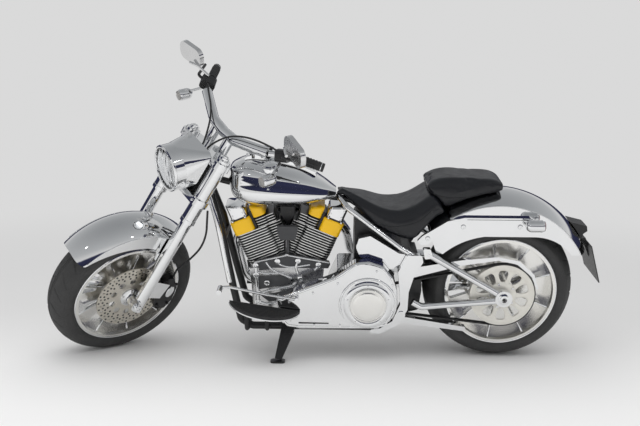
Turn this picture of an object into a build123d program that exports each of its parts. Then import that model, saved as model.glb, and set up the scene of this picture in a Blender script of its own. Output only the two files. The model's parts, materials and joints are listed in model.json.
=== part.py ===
"""Cruiser motorcycle with a 45 degree V twin, parked on its side stand.

Everything is drawn standing upright with the bars straight, in millimetres:

* bike frame: origin on the ground under the rear axle, +X forward, +Y left, +Z up;
* fork frame: origin at the front axle, +X square to the fork and forward, +Y left,
  +Z up along the fork legs;
* hub frame: origin at the middle of a wheel, +Y along its axle to the left.

At the end the pieces are turned to the steering stop, leaned onto the side stand and
written in the parked frame: +X forward, +Y left, +Z up, origin on the ground under
the middle of the whole machine.
"""

import os
from math import atan2, cos, degrees, radians, sin, sqrt

from build123d import *

# ---------------------------------------------------------------- driving dimensions
WHEELBASE = 1665.0
RAKE = 31.0  # degrees from upright
TRAIL = 104.0
STEERING_LOCK = 42.0  # degrees each way
LEAN = 10.25  # degrees onto the stand
FIT = 0.3  # clearance between pieces that seat on each other

# ground point under the middle of the parked machine, in the bike frame
ORIGIN_X = 765.0
ORIGIN_Y = 153.0

# tyres and rims: both wheels share the outer radius and the 18 inch rim
TYRE_RADIUS = 325.0
TYRE_WALL = 12.0
BEAD_RADIUS = 229.0
FLANGE_RADIUS = 241.0
RIM_WALL = 7.0
# half width, half width at the shoulder, crown radius, half width at the bead
REAR_TYRE = dict(half_width=118.0, shoulder=105.0, crown=165.0, bead=101.0)
FRONT_TYRE = dict(half_width=80.0, shoulder=70.0, crown=95.0, bead=60.0)
FLANGE_WIDTH = 8.0
SPOKE_COUNT = 9
SPOKE_WIDTH = 13.0
WINDOW_INNER_RADIUS = 128.0
WINDOW_OUTER_RADIUS = 214.0
WEB_THICKNESS = 26.0
HUB_RADIUS = 48.0
AXLE_RADIUS = 12.5

# brakes and final drive
FRONT_DISC_RADIUS = 150.0
REAR_DISC_RADIUS = 146.0
DISC_THICKNESS = 5.0
DISC_HOLES = 24
FRONT_DISC_Y = 80.0
REAR_DISC_Y = -121.0
PULLEY_RADIUS = 138.0
PULLEY_WIDTH = 26.0
PULLEY_Y = 134.0
PULLEY_WINDOWS = 10
BELT_THICKNESS = 5.0
SPROCKET_RADIUS = 46.0
SPROCKET_X = 560.0
SPROCKET_Z = 300.0

# fork
FORK_HALF_SPACING = 128.0
LEG_OFFSET = -22.0  # leg centre line, measured ahead of the axle
SLIDER_RADIUS = 26.0
COVER_RADIUS = 32.0
COVER_START = 440.0
LEG_TOP = 752.0
LOWER_CLAMP = 545.0
UPPER_CLAMP = 724.0
CLAMP_THICKNESS = 30.0
STEM_RADIUS = 20.0
HEAD_RADIUS = 36.0

# handlebar, in the fork frame: ahead of the axle, to the side, up the fork
BAR_RADIUS = 13.0
WIDE_BAR_RADIUS = 23.0
GRIP_RADIUS = 18.0
BAR_MIDDLE = (-64.0, 0.0, 822.0)
BAR_RISE = (-62.0, 92.0, 830.0)
BAR_OUTER = (-95.0, 258.0, 884.0)
GRIP_START = (-138.0, 327.0, 927.0)
GRIP_END = (-220.0, 430.0, 957.0)
RISER_Y = 52.0

# engine
CRANK = (920.0, 0.0, 228.0)
BANK_ANGLE = 22.5
BARREL_START = 232.0
FIN_COUNT = 13
FIN_PITCH = 11.6
FIN_THICKNESS = 4.2
FIN_LENGTH = 158.0
FIN_WIDTH = 150.0
BARREL_LENGTH = FIN_COUNT * FIN_PITCH
BARREL_RADIUS = 60.0
HEAD_HEIGHT = 78.0
ROCKER_TOP = 686.0
CASE_HALF_WIDTH = 92.0

TUBE_RADIUS = 16.0

# side stand: pivot on the left frame rail and foot, in the bike frame
STAND_PIVOT = (912.0, 158.0, 166.0)
STAND_FOOT = (954.0, 231.0, 42.0)
STAND_FOLDED = (-0.93, 0.30, -0.20)  # direction of the leg when folded back
STAND_PAD = 8.0


# ------------------------------------------------------------------ shared operations
def tube(points, radius, bend=None, hollow=None):
    """Add a round tube or rod along straight runs joined by tangent arcs."""
    with BuildLine(mode=Mode.PRIVATE) as path:
        if len(points) == 2:
            Line(*points)
        else:
            FilletPolyline(*points, radius=bend)
    start = Plane(origin=path.line @ 0, z_dir=path.line % 0)
    with BuildSketch(start, mode=Mode.PRIVATE) as section:
        Circle(radius)
        if hollow:
            Circle(hollow, mode=Mode.SUBTRACT)
    sweep(section.sketch, path=path.line)


def mirrored(points):
    """The same points on the other side of the machine."""
    return [(x, -y, z) for x, y, z in points]


def plate(outline, y_inner, y_outer, corner=0.0, mode=Mode.ADD):
    """Add a flat plate with this outline in side view, between two places across."""
    side = Plane(origin=(0, y_inner, 0), x_dir=(1, 0, 0), z_dir=(0, -1, 0))
    with BuildSketch(side, mode=Mode.PRIVATE) as shape:
        with BuildLine():
            Polyline(*outline, close=True)
        make_face()
        if corner:
            fillet(shape.vertices(), radius=corner)
    extrude(shape.sketch, amount=y_inner - y_outer, mode=mode)


# ------------------------------------------------------------------------- the wheels
def tyre(half_width, shoulder, crown, bead):
    """A hollow tyre: tread arc, bulging sidewalls and a bead that sits in the rim."""
    shoulder_radius = TYRE_RADIUS - crown + sqrt(crown**2 - shoulder**2)
    lip = FLANGE_RADIUS + FIT
    bulge = (lip + shoulder_radius) / 2
    inner_bead = bead - TYRE_WALL
    inner_shoulder = shoulder - TYRE_WALL / 2
    inner_radius = shoulder_radius - TYRE_WALL
    with BuildPart() as body:
        with BuildSketch(Plane.YZ):
            with BuildLine():
                ThreePointArc((-shoulder, shoulder_radius), (0, TYRE_RADIUS), (shoulder, shoulder_radius))
                for side in (-1, 1):
                    ThreePointArc(
                        (side * shoulder, shoulder_radius),
                        (side * half_width, bulge),
                        (side * (bead + FLANGE_WIDTH / 2), lip),
                    )
                    Polyline(
                        (side * (bead + FLANGE_WIDTH / 2), lip),
                        (side * (bead - FIT), lip),
                        (side * (bead - FIT), BEAD_RADIUS + FIT),
                        (side * inner_bead, BEAD_RADIUS + FIT),
                        (side * inner_shoulder, inner_radius),
                    )
                Line((-inner_shoulder, inner_radius), (inner_shoulder, inner_radius))
            make_face()
        revolve(axis=Axis.Y)
    return body


def rim(bead, web_y, hub_half):
    """A cast rim: flanged barrel, windowed web with thin spokes, and the hub."""
    flange = bead + FLANGE_WIDTH
    inner = BEAD_RADIUS - RIM_WALL
    window_middle = (WINDOW_INNER_RADIUS + WINDOW_OUTER_RADIUS) / 2
    half_step = 180.0 / SPOKE_COUNT
    with BuildPart() as body:
        with BuildSketch(Plane.YZ):
            with BuildLine():
                Polyline(
                    (-flange, FLANGE_RADIUS), (-bead, FLANGE_RADIUS), (-bead, BEAD_RADIUS),
                    (bead, BEAD_RADIUS), (bead, FLANGE_RADIUS), (flange, FLANGE_RADIUS),
                    (flange, inner + RIM_WALL / 2), (bead - FLANGE_WIDTH, inner),
                    (FLANGE_WIDTH - bead, inner), (-flange, inner + RIM_WALL / 2),
                    close=True,
                )
            make_face()
        revolve(axis=Axis.Y)
        with BuildSketch(Plane.XZ.offset(-web_y - WEB_THICKNESS / 2)):
            Circle(inner + RIM_WALL / 2)
        extrude(amount=WEB_THICKNESS)
        with BuildSketch(Plane.XZ.offset(-web_y - WEB_THICKNESS)) as windows:
            with PolarLocations(0, SPOKE_COUNT, start_angle=half_step):
                with BuildLine(mode=Mode.PRIVATE) as edge:
                    corners = []
                    for radius, turn in (
                        (WINDOW_INNER_RADIUS, -1), (WINDOW_OUTER_RADIUS, -1),
                        (WINDOW_OUTER_RADIUS, 1), (WINDOW_INNER_RADIUS, 1),
                    ):
                        angle = radians(half_step) - SPOKE_WIDTH / 2 / radius
                        corners.append((radius * cos(angle), turn * radius * sin(angle)))
                    Line(corners[0], corners[1])
                    ThreePointArc(corners[1], (WINDOW_OUTER_RADIUS, 0), corners[2])
                    Line(corners[2], corners[3])
                    ThreePointArc(corners[3], (WINDOW_INNER_RADIUS, 0), corners[0])
                make_face(edge.edges())
            fillet(windows.vertices(), radius=8)
        extrude(amount=2 * WEB_THICKNESS, mode=Mode.SUBTRACT)
        with BuildSketch(Plane.XZ.offset(-hub_half)):
            Circle(HUB_RADIUS)
        extrude(amount=2 * hub_half)
        with BuildSketch(Plane.XZ.offset(-hub_half)):
            Circle(AXLE_RADIUS + FIT)
        extrude(amount=2 * hub_half, mode=Mode.SUBTRACT)
    return body


def disc(radius, inner_radius, thickness, y_inner, hole_circle):
    """A drilled brake disc standing on the end of a hub."""
    with BuildPart() as body:
        with BuildSketch(Plane.XZ.offset(-y_inner)):
            Circle(radius)
            Circle(inner_radius, mode=Mode.SUBTRACT)
            with PolarLocations(hole_circle, DISC_HOLES):
                Circle(5, mode=Mode.SUBTRACT)
            with PolarLocations((inner_radius + hole_circle) / 2, 10):
                Circle(14, mode=Mode.SUBTRACT)
        extrude(amount=-thickness)
    return body


FRONT_HUB_HALF = 77.0
REAR_HUB_HALF = 121.0

front_tyre = tyre(**FRONT_TYRE)
rear_tyre = tyre(**REAR_TYRE)
front_rim = rim(FRONT_TYRE["bead"], 0.0, FRONT_HUB_HALF)
rear_rim = rim(REAR_TYRE["bead"], 20.0, REAR_HUB_HALF)
front_disc = disc(
    FRONT_DISC_RADIUS, HUB_RADIUS - 20, DISC_THICKNESS, FRONT_HUB_HALF + FIT, FRONT_DISC_RADIUS - 16
)
rear_disc = disc(
    REAR_DISC_RADIUS, HUB_RADIUS - 20, DISC_THICKNESS,
    -REAR_HUB_HALF - FIT - DISC_THICKNESS, REAR_DISC_RADIUS - 16,
)

# belt pulley: a rim with a dished, windowed face on the outer side
PULLEY_INNER_Y = REAR_HUB_HALF + FIT
PULLEY_FACE = 10.0
with BuildPart() as rear_pulley:
    with BuildSketch(Plane.XZ.offset(-PULLEY_INNER_Y)):
        Circle(PULLEY_RADIUS)
        Circle(PULLEY_RADIUS - 12, mode=Mode.SUBTRACT)
    extrude(amount=-PULLEY_WIDTH)
    with BuildSketch(Plane.XZ.offset(-PULLEY_INNER_Y - PULLEY_WIDTH + 2)) as face:
        Circle(PULLEY_RADIUS - 6)
        with PolarLocations(88, PULLEY_WINDOWS):
            SlotOverall(44, 30, mode=Mode.SUBTRACT)
    extrude(amount=PULLEY_FACE)
    with BuildSketch(Plane.XZ.offset(-PULLEY_INNER_Y)):
        Circle(HUB_RADIUS - 2)
    extrude(amount=2 - PULLEY_WIDTH)
    with BuildSketch(Plane.XZ.offset(-PULLEY_INNER_Y)):
        Circle(AXLE_RADIUS + FIT)
    extrude(amount=-PULLEY_WIDTH, mode=Mode.SUBTRACT)

# the belt runs round the pulley and the gearbox sprocket behind the primary cover
with BuildPart() as drive_belt:
    with BuildSketch(Plane.XZ.offset(-PULLEY_INNER_Y - 2)):
        for grow, mode in ((BELT_THICKNESS, Mode.ADD), (FIT, Mode.SUBTRACT)):
            with BuildSketch(Plane.XZ, mode=mode):
                Circle(PULLEY_RADIUS + grow)
                with Locations((SPROCKET_X, SPROCKET_Z - TYRE_RADIUS)):
                    Circle(SPROCKET_RADIUS + grow)
                make_hull()
    extrude(amount=4 - PULLEY_WIDTH)

# --------------------------------------------------------------------------- the fork
rake = radians(RAKE)
fork_frame = Plane(
    origin=(WHEELBASE, 0, TYRE_RADIUS), x_dir=(cos(rake), 0, sin(rake)), z_dir=(-sin(rake), 0, cos(rake))
)
STEERING_X = TRAIL * cos(rake) - TYRE_RADIUS * sin(rake)  # steering axis, ahead of the axle
LEG_INNER_Y = FORK_HALF_SPACING - SLIDER_RADIUS

# ------------------------------------------------------- parking it on the side stand
steered = (
    fork_frame.location * Pos(X=STEERING_X) * Rot(Z=STEERING_LOCK) * Pos(X=-STEERING_X)
    * fork_frame.location.inverse()
)
rear_hub = Pos(Z=TYRE_RADIUS)
front_hub = steered * fork_frame.location


def lowest(hub, crown):
    """Height of the lowest point of a wheel with this hub place and tread crown radius."""
    spin = (hub * Pos(Y=1)).position - hub.position
    return hub.position.Z - (TYRE_RADIUS - crown) * sqrt(1 - spin.Z**2) - crown


# pitch the leaned machine until both tyres touch the ground
pitch = 0.0
for _ in range(5):
    leaned = Rot(Y=pitch) * Rot(X=-LEAN)
    rear_low = lowest(leaned * rear_hub, REAR_TYRE["crown"])
    front_low = lowest(leaned * front_hub, FRONT_TYRE["crown"])
    pitch += degrees(atan2(front_low - rear_low, WHEELBASE))
parked = Pos(-ORIGIN_X, -ORIGIN_Y, -rear_low) * leaned


FRONT_DISC_MIDDLE = FRONT_HUB_HALF + FIT + DISC_THICKNESS / 2
CALIPER_HALF = 19.0
with BuildPart() as fork_legs:
    for y in (-FORK_HALF_SPACING, FORK_HALF_SPACING):
        for radius, low, high in (
            (SLIDER_RADIUS, -30, COVER_START),
            (COVER_RADIUS + 2, COVER_START, COVER_START + 16),
            (COVER_RADIUS, COVER_START + 16, LEG_TOP),
            (COVER_RADIUS - 12, LEG_TOP, LEG_TOP + 12),
        ):
            with BuildSketch(Plane.XY.offset(low)):
                with Locations((LEG_OFFSET, y)):
                    Circle(radius)
            extrude(amount=high - low)
        with BuildSketch(Plane.XZ.offset(-y - SLIDER_RADIUS)):
            Circle(24)
        extrude(amount=2 * SLIDER_RADIUS)
    # ear that carries the caliper
    plate([(-26, 112), (-26, 18), (-134, 28), (-146, 104)], FRONT_DISC_MIDDLE + CALIPER_HALF + FIT, LEG_INNER_Y + 8)
    with BuildSketch(Plane.XZ.offset(-FORK_HALF_SPACING - SLIDER_RADIUS - 12)):
        Circle(AXLE_RADIUS)
    extrude(amount=2 * (FORK_HALF_SPACING + SLIDER_RADIUS + 12))

with BuildPart() as triple_clamps:
    for middle in (LOWER_CLAMP, UPPER_CLAMP):
        with BuildSketch(Plane.XY.offset(middle - CLAMP_THICKNESS / 2)):
            with Locations((LEG_OFFSET, FORK_HALF_SPACING), (LEG_OFFSET, -FORK_HALF_SPACING)):
                Circle(COVER_RADIUS + 9)
            with Locations((STEERING_X, 0)):
                Circle(HEAD_RADIUS)
            make_hull()
            with Locations((LEG_OFFSET, FORK_HALF_SPACING), (LEG_OFFSET, -FORK_HALF_SPACING)):
                Circle(COVER_RADIUS + FIT, mode=Mode.SUBTRACT)
        extrude(amount=CLAMP_THICKNESS)
    with BuildSketch(Plane.XY.offset(LOWER_CLAMP)):
        with Locations((STEERING_X, 0)):
            Circle(STEM_RADIUS)
    extrude(amount=UPPER_CLAMP - LOWER_CLAMP)

BAR_SEAT = UPPER_CLAMP + CLAMP_THICKNESS / 2 + FIT
with BuildPart() as handlebar:
    tube([*mirrored([BAR_OUTER, BAR_RISE]), BAR_MIDDLE, BAR_RISE, BAR_OUTER], WIDE_BAR_RADIUS, bend=60)
    for side in ([BAR_OUTER, GRIP_START, GRIP_END], mirrored([BAR_OUTER, GRIP_START, GRIP_END])):
        tube(side, BAR_RADIUS, bend=30)
    for y in (-RISER_Y, RISER_Y):
        with BuildSketch(Plane.XY.offset(BAR_SEAT)):
            with Locations((BAR_MIDDLE[0], y)):
                Circle(WIDE_BAR_RADIUS - 1)
        extrude(amount=BAR_MIDDLE[2] - BAR_SEAT)


def along(start, end, share):
    """The point this share of the way from one point to another."""
    return tuple(a + (b - a) * share for a, b in zip(start, end))


with BuildPart() as grips:
    for start, end in ((GRIP_START, GRIP_END), *[mirrored([GRIP_START, GRIP_END])]):
        tube([along(start, end, 0.04), along(start, end, 1.03)], GRIP_RADIUS, hollow=BAR_RADIUS + FIT)

HOUSING = along(BAR_OUTER, GRIP_START, 0.66)
LEVER_ROOT = (HOUSING[0] + 14, HOUSING[1] + 12, HOUSING[2] + 2)
LEVER_BEND = (HOUSING[0] + 48, HOUSING[1] + 40, HOUSING[2] + 4)
LEVER_TIP = (GRIP_END[0] + 62, GRIP_END[1] + 6, GRIP_END[2] - 8)
with BuildPart() as hand_controls:
    for side in (1, -1):
        aim = Vector(GRIP_START[0] - BAR_OUTER[0], side * (GRIP_START[1] - BAR_OUTER[1]), GRIP_START[2] - BAR_OUTER[2])
        middle = Vector(HOUSING[0], side * HOUSING[1], HOUSING[2])
        shell = Plane(origin=middle - aim.normalized() * 26, z_dir=aim, x_dir=aim.cross(Vector(0, 0, 1)))
        with BuildSketch(shell):
            with Locations((8 * side, 2)):
                RectangleRounded(66, 50, 16)
            Circle(BAR_RADIUS + FIT, mode=Mode.SUBTRACT)
        extrude(amount=50)
        lever = [LEVER_ROOT, LEVER_BEND, LEVER_TIP]
        if side < 0:
            lever = mirrored(lever)
        tube(lever, 6.5, bend=20)

MIRROR = (-38.0, 405.0, 974.0)
STEM_ROOT = (HOUSING[0] + 22, HOUSING[1] + 4, HOUSING[2] + 28.8)
with BuildPart() as mirrors:
    for side in (1, -1):
        back = Plane(
            origin=(MIRROR[0], side * MIRROR[1], MIRROR[2]),
            x_dir=(0, 1, 0), z_dir=(-cos(rake) + 0.1, 0.12 * side, sin(rake)),
        )
        with BuildSketch(back):
            with Locations((10 * side, 0)):
                RectangleRounded(150, 84, 34)
        extrude(amount=22)
        stem = [STEM_ROOT, along(STEM_ROOT, MIRROR, 0.5), (MIRROR[0] - 4, MIRROR[1] - 10, MIRROR[2] - 30)]
        stem[1] = (stem[1][0] + 14, stem[1][1], stem[1][2] - 4)
        tube(stem if side > 0 else mirrored(stem), 6, bend=30)

front_caliper_slot = DISC_THICKNESS / 2 + 5.5
with BuildPart() as front_caliper:
    plate(
        [(-212, 20), (-196, -30), (-140, -28), (-118, 10), (-116, 120), (-160, 134), (-200, 90)],
        FRONT_DISC_MIDDLE - CALIPER_HALF, FRONT_DISC_MIDDLE + CALIPER_HALF, corner=10,
    )
    with BuildSketch(Plane.XZ.offset(-FRONT_DISC_MIDDLE - front_caliper_slot)):
        Circle(FRONT_DISC_RADIUS + 6)
    extrude(amount=2 * front_caliper_slot, mode=Mode.SUBTRACT)

# front fender: a rolled crown with side valances, trimmed to its outline in side view
FENDER_SKIN = 4.0
FRONT_FENDER_RADIUS = 366.0
FRONT_FENDER_HALF = 97.0
FRONT_FENDER_SHOULDER = 326.0


def fender_section(radius, half_width, shoulder_radius, low_radius, skin):
    """Add the section of a fender: arched crown and straight valances, open inside."""
    with BuildLine(mode=Mode.PRIVATE) as edge:
        ThreePointArc((-half_width, shoulder_radius), (0, radius), (half_width, shoulder_radius))
        Polyline(
            (half_width, shoulder_radius), (half_width, low_radius), (half_width - skin, low_radius),
            (half_width - skin, shoulder_radius),
        )
        ThreePointArc((half_width - skin, shoulder_radius), (0, radius - skin), (skin - half_width, shoulder_radius))
        Polyline(
            (skin - half_width, shoulder_radius), (skin - half_width, low_radius),
            (-half_width, low_radius), (-half_width, shoulder_radius),
        )
    make_face(edge.edges())


with BuildPart() as front_fender:
    with BuildSketch(Plane.YZ):
        fender_section(FRONT_FENDER_RADIUS, FRONT_FENDER_HALF, FRONT_FENDER_SHOULDER, 150, FENDER_SKIN)
    revolve(axis=Axis.Y)
    # outline in side view, square to and along the fork
    with BuildSketch(Plane.XZ):
        with BuildLine():
            Polyline((420, 240), (371, 172), (340, 136))
            ThreePointArc((340, 136), (313, 124), (290, 138))
            ThreePointArc((290, 138), (190, 215), (60, 262))
            Polyline((60, 262), (12, 262), (0, 205), (-42, 205), (-52, 258), (-105, 330), (-110, 420), (420, 420), (420, 240))
        make_face()
    extrude(amount=FRONT_FENDER_HALF + 5, both=True, mode=Mode.INTERSECT)
    # pads that carry the fender on the fork sliders
    for side in (1, -1):
        with BuildSketch(Plane.XZ.offset(-side * (FRONT_FENDER_HALF - FENDER_SKIN))):
            with Locations((LEG_OFFSET, 228)):
                RectangleRounded(34, 40, 6)
        extrude(amount=side * (FRONT_FENDER_HALF - FENDER_SKIN - LEG_INNER_Y + FIT))

# headlight nacelle: from a flat back just ahead of the fork covers to the round lamp
NACELLE_BACK = 20.0
NACELLE_TOP = 748.0
NACELLE_BOTTOM = 588.0
NACELLE_HALF = 106.0
LAMP_X = 1440.0
LAMP_Z = 891.0
LAMP_RADIUS = 98.0
LENS_RADIUS = 86.0
with BuildPart() as headlight_nacelle:
    back = Plane(
        origin=fork_frame.from_local_coords((NACELLE_BACK, 0, (NACELLE_TOP + NACELLE_BOTTOM) / 2)),
        x_dir=(0, 1, 0), z_dir=fork_frame.x_dir,
    )
    with BuildSketch(back):
        RectangleRounded(2 * NACELLE_HALF, NACELLE_TOP - NACELLE_BOTTOM, 30)
    front = Plane(origin=(LAMP_X - 30, 0, LAMP_Z), x_dir=(0, 1, 0), z_dir=(1, 0, 0))
    with BuildSketch(front):
        RectangleRounded(2 * LAMP_RADIUS, 2 * LAMP_RADIUS, LAMP_RADIUS - 2)
    loft()
    with BuildSketch(front):
        Circle(LAMP_RADIUS)
    extrude(amount=44)
    with BuildSketch(front.offset(24)):
        Circle(LENS_RADIUS + FIT)
    extrude(amount=20, mode=Mode.SUBTRACT)

with BuildPart() as headlight:
    with BuildSketch(Plane(origin=(LAMP_X - 6 + FIT, 0, LAMP_Z), x_dir=(0, 0, 1), z_dir=(0, 1, 0))):
        with BuildLine():
            Polyline((LENS_RADIUS, 16), (LENS_RADIUS, 0), (0, 0), (0, 32))
            ThreePointArc((0, 32), (LENS_RADIUS * 0.6, 27), (LENS_RADIUS, 16))
        make_face()
    revolve(axis=Axis((LAMP_X, 0, LAMP_Z), (1, 0, 0)))

FRONT_SIGNAL = (1184.0, 352.0, 984.0)
SIGNAL_RADIUS = 25.0


def bullet(centre, length, radius, facing):
    """Add a bullet-shaped lamp body with its lens facing forward (1) or back (-1)."""
    nose = radius - length / 2
    slant = radius * cos(radians(45))
    side = Plane(origin=centre, x_dir=(facing, 0, 0), z_dir=(0, -facing, 0))
    with BuildSketch(side, mode=Mode.PRIVATE) as section:
        with BuildLine():
            Polyline((-length / 2, 0), (length / 2, 0), (length / 2, radius * 0.86), (length / 2 - 8, radius))
            Line((length / 2 - 8, radius), (nose, radius))
            ThreePointArc((nose, radius), (nose - slant, slant), (-length / 2, 0))
        make_face()
    revolve(section.sketch, axis=Axis(centre, (facing, 0, 0)))


with BuildPart() as front_turn_signals:
    for side in (1, -1):
        bullet((FRONT_SIGNAL[0], side * FRONT_SIGNAL[1], FRONT_SIGNAL[2]), 66, SIGNAL_RADIUS, 1)
        root = fork_frame.from_local_coords((HOUSING[0] + 8, side * (HOUSING[1] + 14), HOUSING[2] - 32.2))
        tube([(FRONT_SIGNAL[0] - 8, side * FRONT_SIGNAL[1], FRONT_SIGNAL[2] + 10), tuple(root)], 6)

# brake hose: from the lower clamp in a loop behind the left leg to the caliper
HOSE_ROUTE = [
    (-50, 172, 530), (-78, 174, 480), (-118, 168, 420), (-142, 160, 345), (-128, 150, 270),
    (-110, 134, 205), (-160, 84, 172), (-160, 84, 134.6),
]
with BuildPart() as brake_hose:
    tube(HOSE_ROUTE, 4.5, bend=30)

# control cables: from each switch housing over the bar and down to the upper clamp
CABLE_ROUTE = [(-97, 279, 914), (-60, 222, 910), (-38, 110, 866), (-18, 42, 800), (-12, 18, 740.6)]
with BuildPart() as control_cables:
    for route in (CABLE_ROUTE, mirrored(CABLE_ROUTE)):
        tube(route, 4, bend=45)

# ------------------------------------------------------------------------- the engine
bank_angle = radians(BANK_ANGLE)
BANKS = {
    side: Plane(
        origin=CRANK, x_dir=(cos(bank_angle), 0, -side * sin(bank_angle)),
        z_dir=(side * sin(bank_angle), 0, cos(bank_angle)),
    )
    for side in (1, -1)
}
BARREL_END = BARREL_START + BARREL_LENGTH
HEAD_START = BARREL_END + FIT
HEAD_END = HEAD_START + HEAD_HEIGHT

with BuildPart() as cylinders:
    for bank in BANKS.values():
        with BuildSketch(bank.offset(BARREL_START)):
            Circle(BARREL_RADIUS)
        extrude(amount=BARREL_LENGTH)
        for fin in range(FIN_COUNT):
            with BuildSketch(bank.offset(BARREL_START + FIN_PITCH * (fin + 1) - FIN_THICKNESS)):
                RectangleRounded(FIN_LENGTH - 2 * max(0, 4 - fin), FIN_WIDTH, 30)
            extrude(amount=FIN_THICKNESS)

with BuildPart() as cylinder_heads:
    for side, bank in BANKS.items():
        with BuildSketch(bank.offset(HEAD_START)):
            RectangleRounded(FIN_LENGTH, FIN_WIDTH, 26)
        extrude(amount=16)
        with BuildSketch(bank.offset(HEAD_START + 16)):
            RectangleRounded(FIN_LENGTH - 28, FIN_WIDTH - 20, 22)
        extrude(amount=HEAD_HEIGHT - 16)
        for level in (26, 40, 54):
            with BuildSketch(bank.offset(HEAD_START + level)):
                RectangleRounded(FIN_LENGTH - 8, FIN_WIDTH - 4, 24)
            extrude(amount=8)

with BuildPart() as rocker_covers:
    for side, bank in BANKS.items():
        with BuildSketch(bank.offset(HEAD_END + FIT)):
            with Locations((side * 4, 0)):
                RectangleRounded(FIN_LENGTH - 22, FIN_WIDTH - 8, 20)
        extrude(amount=90)
    with BuildSketch(Plane.XY.offset(ROCKER_TOP)):
        Rectangle(4 * WHEELBASE, WHEELBASE)
    extrude(amount=200, mode=Mode.SUBTRACT)

# crankcase: two cylinder decks on a rounded case, cut from one outline
deck = BARREL_START - FIT
deck_half = FIN_LENGTH / 2 - 2


def bank_point(side, across, up):
    """Side view place of a point given along and up one cylinder bank."""
    point = BANKS[side].from_local_coords((side * across, 0, up))
    return (point.X, point.Z)


with BuildPart() as engine_case:
    plate(
        [
            bank_point(1, deck_half, deck), bank_point(1, -55, deck), bank_point(-1, -55, deck),
            bank_point(-1, deck_half, deck), (770, 330), (742, 215), (785, 172), (1020, 172),
            (1066, 225), (1072, 330),
        ],
        -CASE_HALF_WIDTH, CASE_HALF_WIDTH, corner=6,
    )

PRIMARY_INNER = PULLEY_INNER_Y + PULLEY_WIDTH + 5
PRIMARY_OUTER = 204.0
DERBY_X = 574.0
DERBY_Z = 301.0
DERBY_RADIUS = 77.0
primary_outline = [
    (962, 322), (716, 424), (632, 487), (572, 492), (508, 470), (472, 424), (452, 366),
    (447, 294), (478, 222), (530, 188), (862, 184), (938, 210),
]
with BuildPart() as primary_cover:
    plate(primary_outline, PRIMARY_INNER, PRIMARY_OUTER, corner=16)
    fillet(primary_cover.faces().sort_by(Axis.Y)[-1].edges(), radius=10)
    plate(
        [(940, 300), (716, 400), (665, 420), (650, 300), (665, 200), (860, 196), (925, 214)],
        CASE_HALF_WIDTH + FIT, PRIMARY_INNER + 1, corner=12,
    )
    with BuildSketch(Plane.XZ.offset(-PRIMARY_OUTER + 1)):
        with Locations((DERBY_X, DERBY_Z)):
            Circle(DERBY_RADIUS + 26)
    extrude(amount=-9)

with BuildPart() as derby_cover:
    with BuildSketch(Plane.XZ.offset(-PRIMARY_OUTER - 8 - FIT)):
        with Locations((DERBY_X, DERBY_Z)):
            Circle(DERBY_RADIUS)
    extrude(amount=-12)
    fillet(derby_cover.faces().sort_by(Axis.Y)[-1].edges(), radius=6)

# grey cover plate on its bracket between the two banks, left side
with BuildPart() as horn_cover:
    plate([(962, 612), (870, 612), (882, 552), (950, 552)], 84, 106, corner=8)
    plate([(922, 560), (910, 560), (910, 463.5), (922, 463.5)], 66, 85)

with BuildPart() as gearbox:
    plate(
        [(741, 322), (741, 205), (700, 178), (470, 178), (438, 230), (446, 330), (520, 420), (700, 420)],
        -CASE_HALF_WIDTH, CASE_HALF_WIDTH - 4, corner=14,
    )
    with BuildSketch(Plane.XZ.offset(4 - CASE_HALF_WIDTH)):
        with Locations((SPROCKET_X, SPROCKET_Z)):
            Circle(24)
    extrude(amount=CASE_HALF_WIDTH - PULLEY_INNER_Y - PULLEY_WIDTH)
    with BuildSketch(Plane.XZ.offset(-PULLEY_INNER_Y - 2)):
        with Locations((SPROCKET_X, SPROCKET_Z)):
            Circle(SPROCKET_RADIUS - FIT)
    extrude(amount=4 - PULLEY_WIDTH)

# right side: cam cover, pushrod tubes, air cleaner and exhaust
CAM_COVER_OUTER = -CASE_HALF_WIDTH - 28
PUSHROD_Y = -CASE_HALF_WIDTH - 11
CLEANER_Y = PUSHROD_Y - 11
with BuildPart() as cam_cover:
    plate(
        [(1010, 396), (830, 396), (800, 330), (812, 216), (860, 186), (985, 186), (1030, 230), (1040, 330)],
        CAM_COVER_OUTER, -CASE_HALF_WIDTH - FIT, corner=22,
    )
    for side in (1, -1):
        for across in (-34, 22):
            foot_x = CRANK[0] + side * (46 - across * 0.7)
            x, z = bank_point(side, across - 14, BARREL_END - 8)
            bend_x, bend_z = along((foot_x, 394), (x, z), 0.45)
            tube([(foot_x, PUSHROD_Y, 394), (bend_x, PUSHROD_Y, bend_z), (x, -FIN_WIDTH / 2 - 11, z)], 9, bend=60)

with BuildPart() as air_cleaner:
    with BuildSketch(Plane.XZ.offset(-CLEANER_Y)):
        with Locations((CRANK[0], 590)):
            Circle(104)
    extrude(amount=58)
    fillet(air_cleaner.faces().sort_by(Axis.Y)[0].edges(), radius=22)
    with BuildSketch(Plane.XZ.offset(-CLEANER_Y)):
        with Locations((CRANK[0], 600)):
            RectangleRounded(56, 64, 12)
    extrude(amount=CLEANER_Y + 40)
    # strap bolted to both heads
    plate([(834, 586), (1006, 586), (1006, 612), (834, 612)], -FIN_WIDTH / 2 - FIT, -FIN_WIDTH / 2 - 7)

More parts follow.
